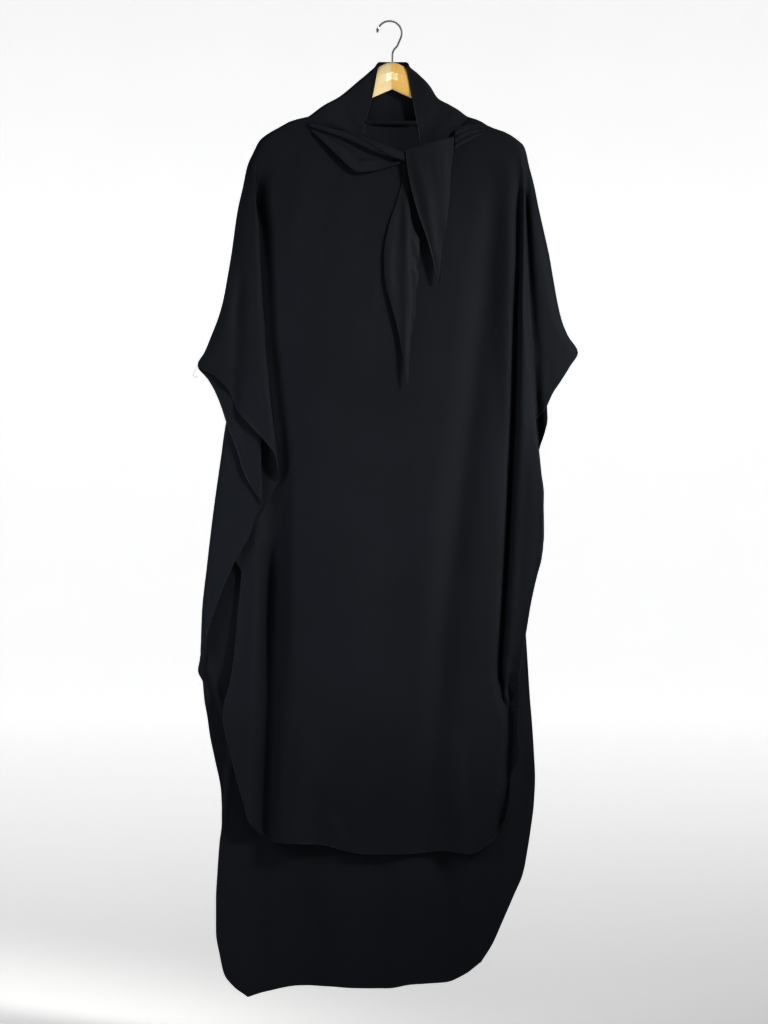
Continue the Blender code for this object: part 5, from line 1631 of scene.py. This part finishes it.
def panels(crepe, thread):
    """The front and back panels with their hems and seams; returns their grids."""
    front = panel_points(FRONT_LEFT, FRONT_RIGHT, FRONT_NECKLINE, FRONT_HEM, FRONT_ROWS)
    back = panel_points(BACK_LEFT, BACK_RIGHT, BACK_NECKLINE, BACK_HEM, BACK_ROWS)
    front[:, :, :3] = dressed_panel(front, -1, FRONT_CREASES, LEFT_WING_CREASES,
                                    RIGHT_WING_CREASES, 11)
    back[:, :, :3] = dressed_panel(back, 1, BACK_CREASES, (), BACK_RIGHT_WING_CREASES, 23,
                                   LEFT_TUCK)
    for name, grid, way, flat, area in (("front_panel", front, -1, FRONT_CUT, FRONT_AREA),
                                        ("back_panel", back, 1, BACK_CUT, BACK_AREA)):
        made = cloth(name + "_cloth", name, grid, crepe)
        cuff = int(np.argmax(grid[:, 0, 2] <= CUFF_ROW))
        hem = rolled_edge(name + "_hem", *inside_line(grid, 0.0, cuff), thread)
        rows = [sewn_row(name + "_hem_stitches", *inside_line(grid, HEM_WIDTH, cuff), thread, way)]
        for edge in ("left", "right"):
            line, inwards = border(grid[1:cuff], edge)
            rows.append(sewn_row(name + "_" + edge + "_arm_stitches",
                                 line + inwards * ARM_STITCH_INSET, inwards, thread, way))
    return front, back


def hood_and_chin(front, back, crepe, chin_crepe, thread):
    """The hood on the panels' necklines, and the chin piece that closes it in front."""
    front_border = (front[0, :, 0], front[0, :, 2])
    back_border = (back[0, :, 0], back[0, :, 2])
    grid = dressed_hood(hood_points(front_border, back_border))
    hood = cloth("hood_cloth", "hood", grid, crepe)
    rim = joined(backwards(border(grid, "left")), border(grid, "top"), border(grid, "right"))
    hem = rolled_edge("face_opening_hem", *rim, thread, width=3.0, depth=1.3)
    seam = sewn_row("neck_seam_stitches", *border(grid, "bottom"), thread,
                    inset=SEAM_STITCH_INSET)

    grid = chin_points(front_border)
    chin = cloth("chin_cloth", "chin_piece", grid, chin_crepe)
    roll = rolled_edge("chin_rolled_edge", *border(grid, "top"), chin_crepe, width=3.4, depth=2.6)
    row = int(np.argmax(grid[:, 0, 2] < CHIN_STITCH_Z))
    groove = sewn_row("chin_stitches", grid[row], grid[row + 1] - grid[row], thread)


def hanging_tail(name, node, grid, finish, hem_finish):
    """The tail of a tie, hemmed down both sides and round its point."""
    tail = cloth(name, node, grid, finish)
    edges = joined(border(grid, "left"), border(grid, "bottom"), backwards(border(grid, "right")))
    hem = rolled_edge(name + "_hem", *edges, hem_finish, width=1.8, depth=1.2, pitch=2.0)


def ties(crepe, thread):
    """The two ties: one wound to the knot with a long tail, one gathered with a short tail."""
    roll = cloth("left_tie_wound", "left_tie_roll", wound_roll_points(), crepe)

    grid = dressed_tie(loose_fold_points(), LOOSE_FOLD_CREASES, seed=41)
    loose = cloth("left_tie_slack", "left_tie_loose_fold", grid, crepe)
    hem = rolled_edge("left_tie_slack_edge", *border(grid, "bottom"), crepe, width=2.6, depth=2.2)

    grid = tail_points(LONG_TAIL_LEFT, LONG_TAIL_RIGHT, LONG_TAIL_ROWS, LONG_TAIL_COLUMNS,
                       long_tail_lift)
    grid = dressed_tie(grid, LONG_TAIL_CREASES, seed=43, waves=0.5)
    hanging_tail("left_tie_tail", "left_tie_long_tail", grid,
                 crepe, crepe)

    grid = dressed_tie(gather_points(), GATHER_CREASES, seed=47, waves=0.25)
    gathers = cloth("right_tie_pleats", "right_tie_gathers", grid, crepe)
    row = sewn_row("right_tie_pleat_stitches", *border(grid, "bottom"), thread,
                   inset=SEAM_STITCH_INSET)

    grid = tail_points(SHORT_TAIL_LEFT, SHORT_TAIL_RIGHT, SHORT_TAIL_ROWS, SHORT_TAIL_COLUMNS,
                       short_tail_lift)
    grid = dressed_tie(grid, SHORT_TAIL_CREASES, seed=53)
    hanging_tail("right_tie_tail", "right_tie_short_tail", grid,
                 crepe, thread)


def finish_hanger():
    """Varnish on the wooden arms and chrome on the hook."""
    beech = varnished_beech("varnished_beech")
    for node, finish in (("hanger_left_arm", beech), ("hanger_right_arm", beech),
                         ("hook", chromed_wire("chromed_wire"))):
        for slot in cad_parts[node].material_slots:
            slot.material = finish


def main():
    camera()
    sweep()
    lighting()
    crepe = black_crepe("black_crepe", "#181B20", "#23272E", 0.08)
    # A lighter copy of the same crepe for the hood and the ties: painted light that makes them look
    # more brightly lit than the panels.
    painted_light_crepe = black_crepe("painted_light_crepe", "#1D1F24", "#2A2C33", 0.115)
    thread = overlock_thread("black_overlock_thread")
    front, back = panels(crepe, thread)
    hood_and_chin(front, back, painted_light_crepe, crepe, thread)
    ties(painted_light_crepe, thread)
    loose_thread(thread)
    finish_hanger()
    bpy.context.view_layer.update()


main()
